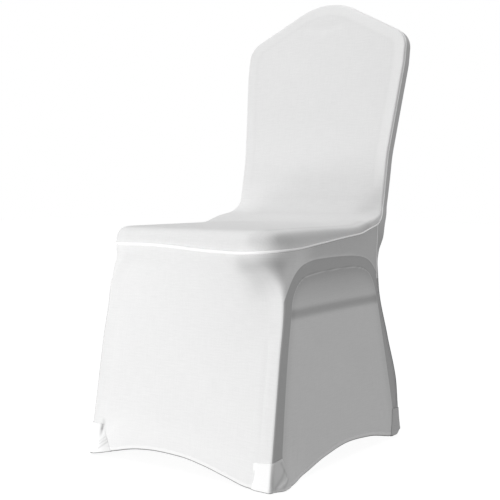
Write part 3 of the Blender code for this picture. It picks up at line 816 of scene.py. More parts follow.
def skirt_column(place, z, out=0.0):
    """A point of the skirt's plan at a height, for a place from the middle of the front.

    A positive place is on the +X side. The point moves outward by out.
    """
    side = -1.0 if place < 0 else 1.0
    step = abs(place)
    front = smooth_value(SKIRT, 1, z)
    half = smooth_value(SKIRT, 2, z) + (smooth_value(LEFT_OUT, 1, z) if side < 0.0 else 0.0)
    radius = smooth_value(SKIRT, 3, z)
    rear = smooth_value(SKIRT, 4, z)
    rear_half = smooth_value(SKIRT, 5, z)
    flat = half - radius
    if step <= FRONT_COUNT:
        x = between([0.0] + half_front(flat), step)
        bow = smooth_value(SKIRT_BOW, 1, z) * max(0.0, 1.0 - (x / (flat - UPRIGHT_BAND)) ** 2)
        return Vector((side * x, front + bow - out, z))
    if step <= FRONT_COUNT + CORNER_SPANS:
        angle = math.pi / 2.0 * (step - FRONT_COUNT) / CORNER_SPANS
        reach = radius + out
        x = flat + reach * math.sin(angle)
        return Vector((side * x, front + radius - reach * math.cos(angle), z))
    start = Vector((half, front + radius))
    run = Vector((rear_half, rear)) - start
    steps = [0.0] + between_uprights(run.length, SIDE_SPANS)
    along = between(steps, step - FRONT_COUNT - CORNER_SPANS)
    bow = smooth_value(SKIRT_BOW, 2, z) * bubble(along, UPRIGHT_BAND, run.length - UPRIGHT_BAND)
    point = start + run * (along / run.length)
    return Vector((side * (point.x - bow + out), point.y, z))


def hem_height(place):
    """Height of the hem at a place round the skirt."""
    step = abs(place)
    foot = skirt_column(place, HEM_AT_FOOT)
    if step <= FRONT_COUNT:
        return smooth_value(FRONT_HEM, 1, foot.x)
    if step <= FRONT_COUNT + CORNER_SPANS:
        return HEM_AT_FOOT
    return smooth_value(SIDE_HEM, 1, foot.y)


# Heights of the lowest rows above the hem, and the doubled band there
HEM_ROWS = (
    0.0120, 0.0105, 0.0092, 0.0084, 0.0079, 0.0074,
    0.0060, 0.0040, 0.0024, 0.0012, 0.0005, 0.0,
)
BODY_ROWS = 92
HEM_BAND = 0.0080
HEM_BAND_EDGE = (-0.0003, 0.0006)
HEM_PROUD = 0.0005
HEM_TURN = 0.0022
HEM_TURN_SHARE = 0.7

# How far the lowest cloth is rounded in at the corners, right and left, and at the rear
FOOT_ROUND = {1: 0.0030, -1: 0.0070}
REAR_SEAM_ROUND = 0.0060
ROUND_SHARE = 0.6
FRONT_ROUND_STATIONS = (3.0, 6.0)
REAR_ROUND_STATIONS = (-4.0, -2.0)

# Side hem behind the front pockets: how far it flares out, and between which places
FLARE = 0.0100
FLARE_STARTS = (-0.2720, -0.2500)
FLARE_ENDS = (-0.2350, -0.1650)
FLARE_HEIGHT = 0.065


def hem_relief(above):
    """How far the cloth stands out by its height above the hem: doubled, then turned under."""
    proud = HEM_PROUD * (1.0 - smooth_step(above - HEM_BAND, *HEM_BAND_EDGE))
    turn = max(0.0, 1.0 - above / HEM_TURN)
    return proud - HEM_TURN_SHARE * HEM_TURN * (1.0 - math.sqrt(1.0 - turn * turn))


def rounded_in(z, depth):
    """How far a cloth turns in at a height when its lowest stretch is rounded."""
    if depth <= 0.0 or z >= depth:
        return 0.0
    return ROUND_SHARE * depth * (1.0 - math.sqrt(max(0.0, 1.0 - (1.0 - z / depth) ** 2)))


def foot_tuck(place, z):
    """How far the cloth turns in near the floor at a corner."""
    step = abs(place)
    from_corner = abs(step - FRONT_COUNT - CORNER_SPANS / 2.0)
    at_front = 1.0 - smooth_step(from_corner, *FRONT_ROUND_STATIONS)
    at_rear = smooth_step(step - JUNCTION, *REAR_ROUND_STATIONS)
    depth = FOOT_ROUND[1 if place > 0 else -1] * at_front + REAR_SEAM_ROUND * at_rear
    return rounded_in(z, depth)


def hem_flare(place, z, hem):
    """How far the side hem flares out behind a front pocket."""
    if abs(place) < FRONT_COUNT + CORNER_SPANS:
        return 0.0
    y = skirt_column(place, HEM_AT_FOOT).y
    near = smooth_step(y, *FLARE_STARTS) * (1.0 - smooth_step(y, *FLARE_ENDS))
    return FLARE * near * (1.0 - smooth_step(z - hem, 0.0, FLARE_HEIGHT))


def seam_index(place):
    """The number of the fine station at a fractional place, counted from the front."""
    index = FINE.index(abs(place))
    return index if place >= 0 else (FINE_COUNT - index) % FINE_COUNT


def skirt_places():
    """Fractional places from one rear seam round the front to the other."""
    half = FINE[:FINE_JUNCTION + 1]
    return [-place for place in reversed(half[1:])] + half


def skirt_heights(place):
    """Heights down one column: evenly to just above the hem, then close together."""
    top = SEAM.points[seam_index(place)].z
    hem = hem_height(place)
    body_end = hem + HEM_ROWS[0]
    body = [top + (body_end - top) * row / BODY_ROWS for row in range(BODY_ROWS)]
    return body + [hem + above for above in HEM_ROWS]


def skirt_point(place, z):
    """A point of the skirt at a height, drawn to the seam near its top."""
    seam = SEAM.points[seam_index(place)]
    hem = hem_height(place)
    share = (seam.z - z) / (seam.z - hem)
    fit = seam - skirt_column(place, seam.z)
    fit.z = 0.0
    out = hem_relief(z - hem) + hem_flare(place, z, hem) - foot_tuck(place, z)
    return skirt_column(place, z, out) + fit * (1.0 - smooth_step(share, 0.0, TOP_FIT_SHARE))


def skirt_net():
    """The net of the skirt: one row of points for each level, from the seam to the hem."""
    net = Net()
    columns = [[skirt_point(place, z) for z in skirt_heights(place)] for place in skirt_places()]
    across = [0.0]
    for before, after in zip(columns, columns[1:]):
        level = len(after) // 2
        across.append(across[-1] + (after[level] - before[level]).length)
    middle = across[len(across) // 2]
    rows = []
    for points in zip(*columns):
        rows.append(net.add(points, [(u - middle, point.z) for u, point in zip(across, points)]))
    net.join(rows)
    return net


SKIRT_FOLDS = {
    # face: (start, end, width, height) of each fold in metres; a trough is negative
    "front": (
        (0.140, 0.3925, 0.196, 0.4015, 0.0042, 0.0014),
        (0.120, 0.3760, 0.200, 0.3900, 0.0090, -0.0012),
        (-0.150, 0.4010, 0.110, 0.3960, 0.0100, 0.0012),
        (-0.165, 0.3840, 0.080, 0.3800, 0.0110, -0.0010),
        (-0.120, 0.3300, 0.050, 0.3360, 0.0140, 0.0007),
        (-0.100, 0.2500, 0.110, 0.2460, 0.0180, 0.0006),
        (-0.060, 0.1900, 0.140, 0.1760, 0.0160, -0.0006),
        (0.030, 0.1230, 0.170, 0.1090, 0.0120, 0.0008),
        (-0.150, 0.1050, -0.040, 0.0900, 0.0120, 0.0006),
        (0.186, 0.0600, 0.184, 0.2600, 0.0050, -0.0010),
        (0.150, 0.0620, 0.188, 0.0360, 0.0050, 0.0008),
        (0.140, 0.0440, 0.186, 0.0240, 0.0050, -0.0008),
        (-0.1920, 0.0420, -0.1905, 0.0700, 0.0030, -0.0022),
        (-0.1880, 0.0700, -0.1860, 0.3000, 0.0060, -0.0008),
        (-0.1780, 0.0450, -0.1300, 0.0800, 0.0060, 0.0010),
    ),
    "right side": (
        (-0.0420, 0.4259, -0.0232, 0.4058, 0.0030, -0.0008),
        (-0.1643, 0.3862, -0.1301, 0.3995, 0.0022, 0.0008),
        (-0.1301, 0.3995, -0.0672, 0.4005, 0.0022, 0.0008),
        (-0.0672, 0.4005, 0.0266, 0.3993, 0.0022, 0.0007),
        (-0.2030, 0.0100, -0.1650, 0.0900, 0.0060, 0.0012),
        (-0.2130, 0.0280, -0.2010, 0.1000, 0.0050, -0.0010),
        (0.1500, 0.0250, 0.0900, 0.0480, 0.0070, 0.0010),
        (0.1560, 0.0350, 0.1250, 0.1000, 0.0060, -0.0008),
    ),
    "left side": (
        (-0.2100, 0.0200, -0.1500, 0.0800, 0.0070, 0.0012),
        (0.1600, 0.0300, 0.0900, 0.0600, 0.0070, 0.0010),
        (-0.0500, 0.4200, -0.0200, 0.3990, 0.0040, -0.0008),
    ),
}
skirt_mesh = skirt_net().mesh("skirt_cloth", (-1.0, 0.0, 0.0))
lay_folds(skirt_mesh, SKIRT_FOLDS)
skirt_cloth = cloth_piece("skirt_cloth", skirt_mesh)

# %% [markdown]
# ## The outside of the back
#
# One cloth runs from the crown down the outside of the back to the rear hem. It wraps
# round both edges of the back and meets the other panels at the seams on the sides.

# %% Rear cloth
def rear_face(x, z):
    """A point on the outside of the back or on the rear of the skirt below it."""
    sides = smooth_value(REAR_PROFILE, 1, z)
    middle = smooth_value(REAR_PROFILE, 2, z)
    share = max(0.0, 1.0 - (x / (SEAT_HALF_WIDTH - REAR_SIDE_BAND)) ** 2)
    return Vector((x, sides + (middle - sides) * share, z))


def rear_side(side):
    """Seam points from the rear hem up to the crown, on one side."""
    heights = skirt_heights(JUNCTION)
    points = [skirt_point(side * JUNCTION, z) for z in reversed(heights)]
    for index in range(FINE_JUNCTION + 1, FINE_COUNT // 2 + 1):
        points.append(SEAM.points[index if side == 1 else FINE_COUNT - index])
    return points


def rear_edge(points):
    """Where the rear face turns forward to its seams, as (x, height), for each point."""
    sink_from = SEAM.points[FINE_JUNCTION].z
    edges = []
    for point in points:
        sink = REAR_SINK * smooth_step(point.z, sink_from, sink_from + REAR_SINK_REACH)
        half = abs(point.x)
        if REAR_EDGE[0][0] < point.z < REAR_EDGE[-1][0]:
            half = min(half, smooth_value(REAR_EDGE, 1, point.z))
        edges.append(Vector((math.copysign(half, point.x), point.z - sink)))
    return edges


def inside_edge(edges, inset):
    """The places of an open outline moved to the left of its direction."""
    inner = []
    for index, edge in enumerate(edges):
        before = edges[max(index - 4, 0)]
        after = edges[min(index + 4, len(edges) - 1)]
        along = (after - before).normalized()
        inner.append(edge + Vector((-along.y, along.x)) * inset)
    return inner


def rear_hem(spans, half):
    """Places along the rear hem as (x, height)."""
    hem = []
    for step in range(spans + 1):
        x = half * (2.0 * step / spans - 1.0)
        rise = max(0.0, 1.0 - (x / (half - UPRIGHT_BAND)) ** 2)
        hem.append(Vector((x, HEM_AT_FOOT + REAR_HEM_RISE * rise)))
    return hem


REAR_ROLL_LENGTH = 1.6


def rear_net():
    """The net of the rear cloth, with the edges that roll forward to the seams."""
    net = Net()
    stations = rear_side(1) + rear_side(-1)[-2::-1]
    edges = rear_edge(stations)
    inner = inside_edge(edges, REAR_ROLL)
    rows_up = len(skirt_heights(JUNCTION)) + FINE_SHOULDER_MID - FINE_JUNCTION
    top = inner[rows_up - 1:len(inner) - rows_up + 1][::-1]
    hem = rear_hem(len(top) - 1, inner[0].x)
    rows = coons(hem, inner[:rows_up], top, inner[:-rows_up - 1:-1])
    grid = [net.add([rear_face(*place) for place in row], row) for row in rows.tolist()]
    net.join(grid)
    net.columns = len(top)
    right = [row[-1] for row in grid]
    left = [row[0] for row in reversed(grid)]
    curves = []
    for inside, edge, seam in zip(inner, edges, stations):
        corner = rear_face(*edge)
        reach = seam - corner
        end = corner + reach.normalized() * min(REAR_ROLL, ROLL_SHARE * reach.length)
        curves.append((rear_face(*inside), corner, end))
    rim = right + grid[-1][-2:0:-1] + left
    roll_over(net, rim, inner, edges, curves, stations, REAR_ROLL_LENGTH, EDGE_ROWS)
    return net


# Rear corners near the floor: where the cloth is rounded in, and where its hem rises
REAR_FOOT_ROUND = 0.0090
REAR_ROUND_X = (0.150, 0.175)
REAR_LIFTS = (
    # rise, where it starts and where it is full along y
    (0.0035, (0.160, 0.190)),
    (0.0085, (0.199, 0.212)),
)
REAR_LIFT_X = (0.150, 0.180)
REAR_LIFT_BELOW = 0.04
REAR_FACING = 0.3


def rear_tuck(x, z):
    """How far the rear cloth turns in near the floor at a rear corner."""
    return rounded_in(z, REAR_FOOT_ROUND * smooth_step(abs(x), *REAR_ROUND_X))


def lift_rear_corners(mesh):
    """Raises the hem a little at the rear pockets and rounds it up at their back."""
    for vertex in mesh.vertices:
        x, y, z = vertex.co
        if z < REAR_LIFT_BELOW:
            lift = sum(rise * smooth_step(y, *reach) for rise, reach in REAR_LIFTS)
            lift *= smooth_step(abs(x), *REAR_LIFT_X)
            vertex.co.z += lift * (1.0 - z / REAR_LIFT_BELOW)


rear_cloth_net = rear_net()
rear_mesh = rear_cloth_net.mesh("rear_cloth", (0.0, 1.0, 0.0))
for vertex in rear_mesh.vertices:
    if vertex.normal.y > REAR_FACING:
        vertex.co.y -= rear_tuck(vertex.co.x, vertex.co.z)
for mesh in (rear_mesh, skirt_mesh):
    lift_rear_corners(mesh)
REAR_FOLDS = {
    "rear": (
        (-0.1500, 0.4800, -0.0600, 0.3300, 0.0160, 0.0010),
        (0.1450, 0.4900, 0.0500, 0.3200, 0.0150, 0.0010),
        (-0.1600, 0.3600, -0.1250, 0.1300, 0.0120, -0.0008),
        (0.1580, 0.3600, 0.1300, 0.1200, 0.0130, -0.0008),
        (-0.1700, 0.0500, -0.1000, 0.1100, 0.0090, 0.0010),
        (0.1720, 0.0480, 0.1050, 0.1150, 0.0090, 0.0010),
        (-0.1300, 0.8100, -0.0300, 0.8900, 0.0120, 0.0007),
        (0.1350, 0.8050, 0.0400, 0.8850, 0.0120, 0.0007),
        (-0.1200, 0.2300, 0.1100, 0.2200, 0.0200, 0.0007),
    ),
}
lay_folds(rear_mesh, REAR_FOLDS)
rear_cloth = cloth_piece("rear_cloth", rear_mesh)

# %% [markdown]
# ## Seams
#
# The seam round the seat is a thick turned edge that catches the light as one bright
# line. It is a band taller than it is deep, widest across the front. The back's seam
# and the two upright seams behind the skirt are thin.

# %% Seam bands
BAND_SIDES = 12
BAND_UV_STEP = 0.001


def sweep(name, points, sizes, looks):
    """A closed band along a line: an oval of (height, depth) at each point."""
    net = Net()
    rows = []
    run = 0.0
    for index, point in enumerate(points):
        before = points[max(index - 1, 0)]
        after = points[min(index + 1, len(points) - 1)]
        if index:
            run += (point - before).length
        along = (after - before).normalized()
        out = looks[index] - along * looks[index].dot(along)
        out.normalize()
        up = along.cross(out)
        height, depth = sizes[index]
        ring = []
        for step in range(BAND_SIDES):
            angle = 2.0 * math.pi * step / BAND_SIDES
            side = up * (height * math.cos(angle)) + out * (depth * math.sin(angle))
            ring.append(point + side)
        rows.append(net.add(ring, [(run, step * BAND_UV_STEP) for step in range(BAND_SIDES)]))
    net.join(rows, closed=True)
    net.faces += [tuple(rows[0]), tuple(reversed(rows[-1]))]
    piece = add_object(name, net.mesh(name, Vector(net.points[0]) - points[0]))
    print(name, round(run, 3), "m long")
    return piece


SEAT_BAND = (
    # place from the middle of the front, half height, half depth
    (0.0, 0.0033, 0.0027),
    (8.5, 0.0031, 0.0025),
    (11.0, 0.0020, 0.0018),
    (15.0, 0.0015, 0.0014),
    (26.0, 0.0014, 0.0013),
)
SEAT_BAND_OUT = 0.0012


def seam_line(first, last):
    """Points and outward looks of the seam between two fine stations."""
    points = []
    looks = []
    for number in range(first, last + 1):
        index = number % FINE_COUNT
        points.append(SEAM.points[index])
        looks.append(on_front_face(*SEAM.edge[index]) - on_front_face(*SEAM.inner[index]))
    return points, looks


seat_line, seat_looks = seam_line(-FINE_JUNCTION, FINE_JUNCTION)
seat_points = []
seat_sizes = []
for index, (point, look) in enumerate(zip(seat_line, seat_looks)):
    place = FINE[abs(index - FINE_JUNCTION)]
    seat_points.append(point + look.normalized() * SEAT_BAND_OUT)
    seat_sizes.append((smooth_value(SEAT_BAND, 1, place), smooth_value(SEAT_BAND, 2, place)))
seat_seam_band = sweep("seat_seam_band", seat_points, seat_sizes, seat_looks)

BACK_BAND = (0.0012, 0.0013)
back_points, back_looks = seam_line(FINE_JUNCTION, FINE_COUNT - FINE_JUNCTION)
back_sizes = [BACK_BAND] * len(back_points)
back_seam_band = sweep("back_seam_band", back_points, back_sizes, back_looks)

REAR_BAND = (0.0011, 0.0011)
REAR_BAND_END_Z = 0.060
rear_seam_bands = []
for label, side in (("right", 1), ("left", -1)):
    line = rear_side(side)[:len(skirt_heights(JUNCTION))]
    line = [point for point in line if point.z > REAR_BAND_END_Z]
    looks = [Vector((side, 0.0, 0.0))] * len(line)
    rear_seam_bands.append(sweep("rear_seam_band_" + label, line, [REAR_BAND] * len(line), looks))

# %% [markdown]
# ## Foot pockets
#
# A pocket of doubled knit turns under each bottom corner and keeps the cover tight. It is
# sewn over the corner of the skirt with one firm edge across its top. Its two upright
# edges melt into the skirt, and creases spread from its lowest point, so this small piece
# gets the finest net of all.

# %% Pocket cloth
POCKET_PROUD = 0.0008
POCKET_CLEAR = 0.0003
POCKET_MELT = 0.12
POCKET_BELOW_HEM = 0.0006
POCKET_HEM_LIMIT = 0.02
POCKET_CROWDING = 1.2
POCKET_SPREAD = {
    # (side, at the rear): reach round the corner at the top and at the bottom, each
    # as (before the corner, after it)
    (1, False): ((0.0400, 0.0270), (0.0420, 0.0560)),
    (-1, False): ((0.0310, 0.0270), (0.0560, 0.0500)),
    (1, True): ((0.0270, 0.0260), (0.0420, 0.0300)),
    (-1, True): ((0.0270, 0.0260), (0.0420, 0.0300)),
}
POCKET_TOPS = {
    # (side, at the rear): height of the pocket's top edge at its two ends
    (1, False): (0.0490, 0.0560),
    (-1, False): (0.0635, 0.0640),
    (1, True): (0.0640, 0.0590),
    (-1, True): (0.0640, 0.0590),
}
REAR_HALF_FLAT = SEAT_HALF_WIDTH - UPRIGHT_BAND
POCKET_ROWS_UP = 44
POCKET_COLUMNS_ROUND = 60

# Steps of the plan of the cover round a corner, in stations or as counts
PLAN_STEP = 0.25
PLAN_REACH = (4.0, 5.0)
PLAN_CORNER_STEPS = 16
PLAN_SEAM_STEPS = 6
PLAN_ROLL_STEPS = 12
PLAN_BEHIND_STEPS = 11
PLAN_BEHIND_SPACING = 0.004


def along_path(path, place):
    """The point at a distance along an open path."""
    lengths = [0.0]
    for before, after in zip(path, path[1:]):
        lengths.append(lengths[-1] + (after - before).length)
    index = min(max(bisect.bisect_right(lengths, place) - 1, 0), len(path) - 2)
    share = (place - lengths[index]) / (lengths[index + 1] - lengths[index])
    return path[index].lerp(path[index + 1], share)


def on_skirt(place, z, proud):
    """A point proud of the skirt, with the same hem, flare and foot."""
    hem = hem_height(place)
    out = hem_relief(max(z - hem, 0.0)) + hem_flare(place, z, hem) - foot_tuck(place, z)
    return skirt_column(place, z, out + proud)


def corner_path(side, at_rear, z, proud):
    """The plan of the cover round a corner at a height, and the length up to the corner."""
    corner_end = FRONT_COUNT + CORNER_SPANS
    before, after = PLAN_REACH
    if at_rear:
        count = int(after / PLAN_STEP)
        places = [JUNCTION - after + step * PLAN_STEP for step in range(count)]
        middle = count + PLAN_SEAM_STEPS + PLAN_ROLL_STEPS // 2
    else:
        count = int(before / PLAN_STEP)
        places = [FRONT_COUNT - before + step * PLAN_STEP for step in range(count)]
        middle = count + PLAN_CORNER_STEPS // 2
        for step in range(PLAN_CORNER_STEPS):
            places.append(FRONT_COUNT + CORNER_SPANS * step / PLAN_CORNER_STEPS)
        count = int(after / PLAN_STEP) + 1
        places += [corner_end + step * PLAN_STEP for step in range(count)]
    path = [on_skirt(side * place, z, proud) for place in places]
    if at_rear:
        seam = on_skirt(side * JUNCTION, z, proud)
        out = proud + HEM_PROUD - foot_tuck(side * JUNCTION, z)
        behind = rear_face(side * SEAT_HALF_WIDTH, z).y + out - rear_tuck(SEAT_HALF_WIDTH, z)
        corner = Vector((seam.x, behind, z))
        start = corner - Vector((0.0, REAR_ROLL, 0.0))
        end = corner - Vector((side * REAR_ROLL, 0.0, 0.0))
        for step in range(PLAN_SEAM_STEPS):
            path.append(seam.lerp(start, step / PLAN_SEAM_STEPS))
        for step in range(PLAN_ROLL_STEPS + 1):
            path.append(bezier(start, corner, end, step / PLAN_ROLL_STEPS))
        for step in range(1, PLAN_BEHIND_STEPS + 1):
            x = side * (abs(end.x) - PLAN_BEHIND_SPACING * step)
            path.append(Vector((x, rear_face(x, z).y + out - rear_tuck(x, z), z)))
    return path, sum((b - a).length for a, b in zip(path[:middle], path[1:middle + 1]))


def hem_below(point, at_rear):
    """Height of the hem under a point near a pocket."""
    if at_rear:
        if abs(point.x) < REAR_HALF_FLAT:
            return HEM_AT_FOOT + REAR_HEM_RISE * max(0.0, 1.0 - (point.x / REAR_HALF_FLAT) ** 2)
        return smooth_value(SIDE_HEM, 1, point.y)
    if point.y < skirt_column(0.0, HEM_AT_FOOT).y:
        return smooth_value(FRONT_HEM, 1, point.x)
    return smooth_value(SIDE_HEM, 1, point.y)


def pocket_net(side, at_rear):
    """The net of one pocket: a wall round the corner, turned under at the bottom."""
    net = Net()
    (top_before, top_after), (low_before, low_after) = POCKET_SPREAD[(side, at_rear)]
    top_start, top_end = POCKET_TOPS[(side, at_rear)]
    guide, guide_corner = corner_path(side, at_rear, HEM_AT_FOOT, 0.0)
    rows = []
    for row in range(POCKET_ROWS_UP + 1):
        share = row / POCKET_ROWS_UP
        points = []
        flat = []
        before = low_before + (top_before - low_before) * share
        after = low_after + (top_after - low_after) * share
        for column in range(POCKET_COLUMNS_ROUND + 1):
            across = column / POCKET_COLUMNS_ROUND
            past_corner = (before + after) * across - before
            foot = along_path(guide, guide_corner + past_corner)
            hem = min(hem_below(foot, at_rear), POCKET_HEM_LIMIT) - POCKET_BELOW_HEM
            top = top_start + (top_end - top_start) * across
            z = hem + (top - hem) * share ** POCKET_CROWDING
            melt = smooth_step(min(across, 1.0 - across), 0.0, POCKET_MELT)
            proud = POCKET_CLEAR + POCKET_PROUD * melt
            path, path_corner = corner_path(side, at_rear, z, proud)
            points.append(along_path(path, path_corner + past_corner))
            flat.append((path_corner + past_corner, z))
        rows.append(net.add(points, flat))
    net.join(rows)
    return net


POCKET_FOLDS = {
    (1, False): {
        "right side": (
            (-0.2722, 0.0040, -0.2348, 0.0240, 0.0022, 0.0016),
            (-0.2700, 0.0060, -0.2440, 0.0350, 0.0022, -0.0005),
            (-0.2440, 0.0530, -0.2313, 0.0375, 0.0016, 0.0014),
            (-0.2313, 0.0375, -0.2163, 0.0060, 0.0016, 0.0014),
            (-0.2480, 0.0480, -0.2340, 0.0180, 0.0024, -0.0005),
            (-0.2722, 0.0030, -0.2196, 0.0030, 0.0020, 0.0014),
        ),
        "front": (
            (0.1780, 0.0100, 0.1810, 0.0480, 0.0030, -0.0008),
        ),
    },
    (-1, False): {
        "front": (
            (-0.1970, 0.0295, -0.1828, 0.0403, 0.0012, -0.0004),
            (-0.1962, 0.0241, -0.1739, 0.0391, 0.0012, -0.0004),
            (-0.1978, 0.0157, -0.1700, 0.0351, 0.0013, -0.0004),
            (-0.1975, 0.0270, -0.1780, 0.0400, 0.0013, 0.0011),
            (-0.1975, 0.0200, -0.1740, 0.0360, 0.0014, 0.0011),
            (-0.1985, 0.0600, -0.1990, 0.0400, 0.0030, 0.0012),
        ),
    },
    (1, True): {
        "right side": (
            (0.1735, 0.0560, 0.1866, 0.0349, 0.0018, 0.0010),
            (0.1818, 0.0145, 0.2045, 0.0163, 0.0020, -0.0004),
            (0.1774, 0.0218, 0.2000, 0.0300, 0.0020, 0.0009),
        ),
    },
    (-1, True): {
        "left side": (
            (0.1740, 0.0540, 0.1880, 0.0330, 0.0018, 0.0010),
            (0.1800, 0.0160, 0.2045, 0.0200, 0.0020, -0.0004),
        ),
    },
}

foot_pockets = []
for at_rear, part in ((False, "front"), (True, "rear")):
    for side, hand in ((1, "right"), (-1, "left")):
        name = "foot_pocket_%s_%s_cloth" % (part, hand)
        outward = (0.0, 1.0 if at_rear else -1.0, 0.0)
        mesh = pocket_net(side, at_rear).mesh(name, outward)
        lift_rear_corners(mesh)
        lay_folds(mesh, SKIRT_FOLDS)
        lay_folds(mesh, POCKET_FOLDS[(side, at_rear)])
        foot_pockets.append((cloth_piece(name, mesh), "foot_pocket_%s_%s" % (part, hand)))

# %% [markdown]
# ## What shows through, and painted shade and highlights
#
# White knit over a dark support looks grey, and it is darkest where it is pulled hard
# against it. On this cover a dark band runs up, across and down each side, and a soft
# bar crosses it. Painted shade is added under the seat, in creases, on turned edges and
# along the lowest edges of hems and pockets, and painted highlights on ridges. None of
# this is dye, so it is stored on the cloth as a value at each point, which the material
# reads. It stays in place from every side.

# %% Shade of the cloth
BAND_OUTSIDE = (
    # y, height: outer edge of the band on the side
    (-0.3233, -0.1000), (-0.2712, 0.0564), (-0.2527, 0.1768), (-0.2402, 0.2608), (-0.2282, 0.3299),
    (-0.2096, 0.3596), (-0.1835, 0.3836), (-0.1417, 0.3970), (-0.0700, 0.3989), (0.0153, 0.3976),
    (0.0697, 0.3909), (0.0980, 0.3760), (0.1150, 0.3560), (0.1400, 0.3500), (0.3000, 0.3500),
    (0.3000, -0.1000),
)
BAND_INSIDE = (
    # y, height: inner edge of the band on the side
    (-0.2589, -0.1000), (-0.2410, 0.0644), (-0.2234, 0.2113), (-0.2074, 0.2962), (-0.2029, 0.3355),
    (-0.1763, 0.3650), (-0.1265, 0.3735), (0.0149, 0.3767), (0.0693, 0.3687), (0.0973, 0.3488),
    (0.1161, 0.3108), (0.1730, 0.1032), (0.2262, -0.1000),
)
BAND_LOOKS = (0.6, 0.35)
BAND_TURN = 0.03
BAND_REAR_Y = 0.1
REAR_POCKET_TOP = 0.0605

# The bar across the side, and the cloth beside it: how dark, and how soft each edge is
BAR_HEIGHTS = (0.296, 0.312)
BAR_EDGE = 0.012
BAR_SHADE = 0.30
BEHIND_SHADE = 0.06
INNER_EDGE = 0.004
BESIDE_SHADE = 0.09
BESIDE_WIDTH = 0.014
# Painted shade under the seat: at the top of the cloth inside the band, and on the cloth above the
# band
INSIDE_TOP_SHADE = 0.28
INSIDE_TOP = (0.335, 0.10)
ABOVE_SHADE = 0.24
ABOVE_EDGE = 0.006
ABOVE_HEIGHT = (0.34, 0.02)
ABOVE_Y = (-0.150, 0.080)
SIDE_LOOKS = (0.75, 0.3)
CUT = 0.25
CUT_ROUNDS = 3


def rounded(outline):
    """A closed outline with its corners cut again and again, so that it bends smoothly."""
    corners = np.array(outline)
    for _ in range(CUT_ROUNDS):
        after = np.roll(corners, -1, axis=0)
        cut = [corners * (1.0 - CUT) + after * CUT, corners * CUT + after * (1.0 - CUT)]
        corners = np.stack(cut, axis=1).reshape(-1, 2)
    return corners


BAND_OUTER_EDGE = rounded(BAND_OUTSIDE)
BAND_INNER_EDGE = rounded(BAND_INSIDE)


def inside_line(corners, places):
    """Signed distance of each place to a closed outline: positive inside."""
    away = np.full(len(places), np.inf)
    crossings = np.zeros(len(places), int)
    for start, end in zip(corners, np.roll(corners, -1, axis=0)):
        along = end - start
        away = np.minimum(away, along_line(places, start, end)[1])
        spans = (start[1] > places[:, 1]) != (end[1] > places[:, 1])
        if along[1]:
            reach = start[0] + (places[:, 1] - start[1]) / along[1] * along[0]
            crossings += spans & (places[:, 0] < reach)
    return np.where(crossings % 2, away, -away)


def soft(distance, width):
    """Zero to one as a distance goes from minus to plus half a width."""
    share = np.clip(distance / width + 0.5, 0.0, 1.0)
    return share * share * (3.0 - 2.0 * share)


def soft_from(values, start_and_width):
    """Zero to one where values pass a start, over a width."""
    start, width = start_and_width
    return soft(values - start, width)


def sideways(mesh):
    """How far each point of a mesh looks to one side or the other."""
    return np.abs(mesh_points(mesh, "normal")[:, 0])


def store(mesh, name, values):
    """Keeps a value at each point of a mesh, for its material."""
    layer = mesh.attributes.new(name, "FLOAT", "POINT")
    layer.data.foreach_set("value", np.asarray(values, np.float32))


def band_depth(mesh):
    """How far inside the dark band each point of the skirt lies; negative outside it."""
    places = mesh_points(mesh)[:, 1:]
    looks = mesh_points(mesh, "normal")[:, 0]
    depth = inside_line(BAND_OUTER_EDGE, places)
    depth = np.minimum(depth, -inside_line(BAND_INNER_EDGE, places))
    above_pocket = np.minimum(depth, places[:, 1] - REAR_POCKET_TOP)
    depth = np.where(places[:, 0] > BAND_REAR_Y, above_pocket, depth)
    right, left = BAND_LOOKS
    return np.minimum(depth, np.where(looks > 0.0, looks - right, -looks - left) * BAND_TURN)


def side_shade(mesh):
    """Shade of the bar, and of the cloth inside and above the band, on both sides."""
    places = mesh_points(mesh)[:, 1:]
    along, heights = places.T
    depth = inside_line(BAND_INNER_EDGE, places)
    inner = soft(depth, INNER_EDGE)
    over = soft(-inside_line(BAND_OUTER_EDGE, places), ABOVE_EDGE)
    over *= soft_from(heights, ABOVE_HEIGHT) * soft_from(along, ABOVE_Y)
    low, high = BAR_HEIGHTS
    bar = soft(heights - low, BAR_EDGE) * soft(high - heights, BAR_EDGE) * inner
    # The bar shows through; the top inside the band and the cloth above the band get painted shade
    shade = BAR_SHADE * bar + BEHIND_SHADE * inner + ABOVE_SHADE * over
    shade += INSIDE_TOP_SHADE * inner * soft_from(heights, INSIDE_TOP)
    shade += BESIDE_SHADE * inner * np.exp(-((depth / BESIDE_WIDTH) ** 2))
    return shade * soft_from(sideways(mesh), SIDE_LOOKS)


def strokes(mesh, lines):
    """Soft lines laid on a cloth, as in lay_folds: face: (start, end, width, amount)."""
    total = np.zeros(len(mesh.vertices))
    for amount, _, facing in soft_lines(mesh, lines):
        total += amount * soft(facing - 0.5, 0.5)
    return total


# Painted shade: a thin dark line along the lowest edge of the hems and pockets, where the cloth
# turns under
EDGE_LINE = 0.0020
EDGE_LINE_SOFT = 0.0012
EDGE_SHADE = 0.85
HEM_LIGHT = 0.40
HEM_LIGHT_SOFT = 0.0010
NO_BAND = -1.0


def skirt_above_hem():
    """Height above the hem of each point of the skirt, row by row."""
    columns = []
    for place in skirt_places():
        columns.append(np.array(skirt_heights(place)) - hem_height(place))
    return np.array(columns).T.ravel()
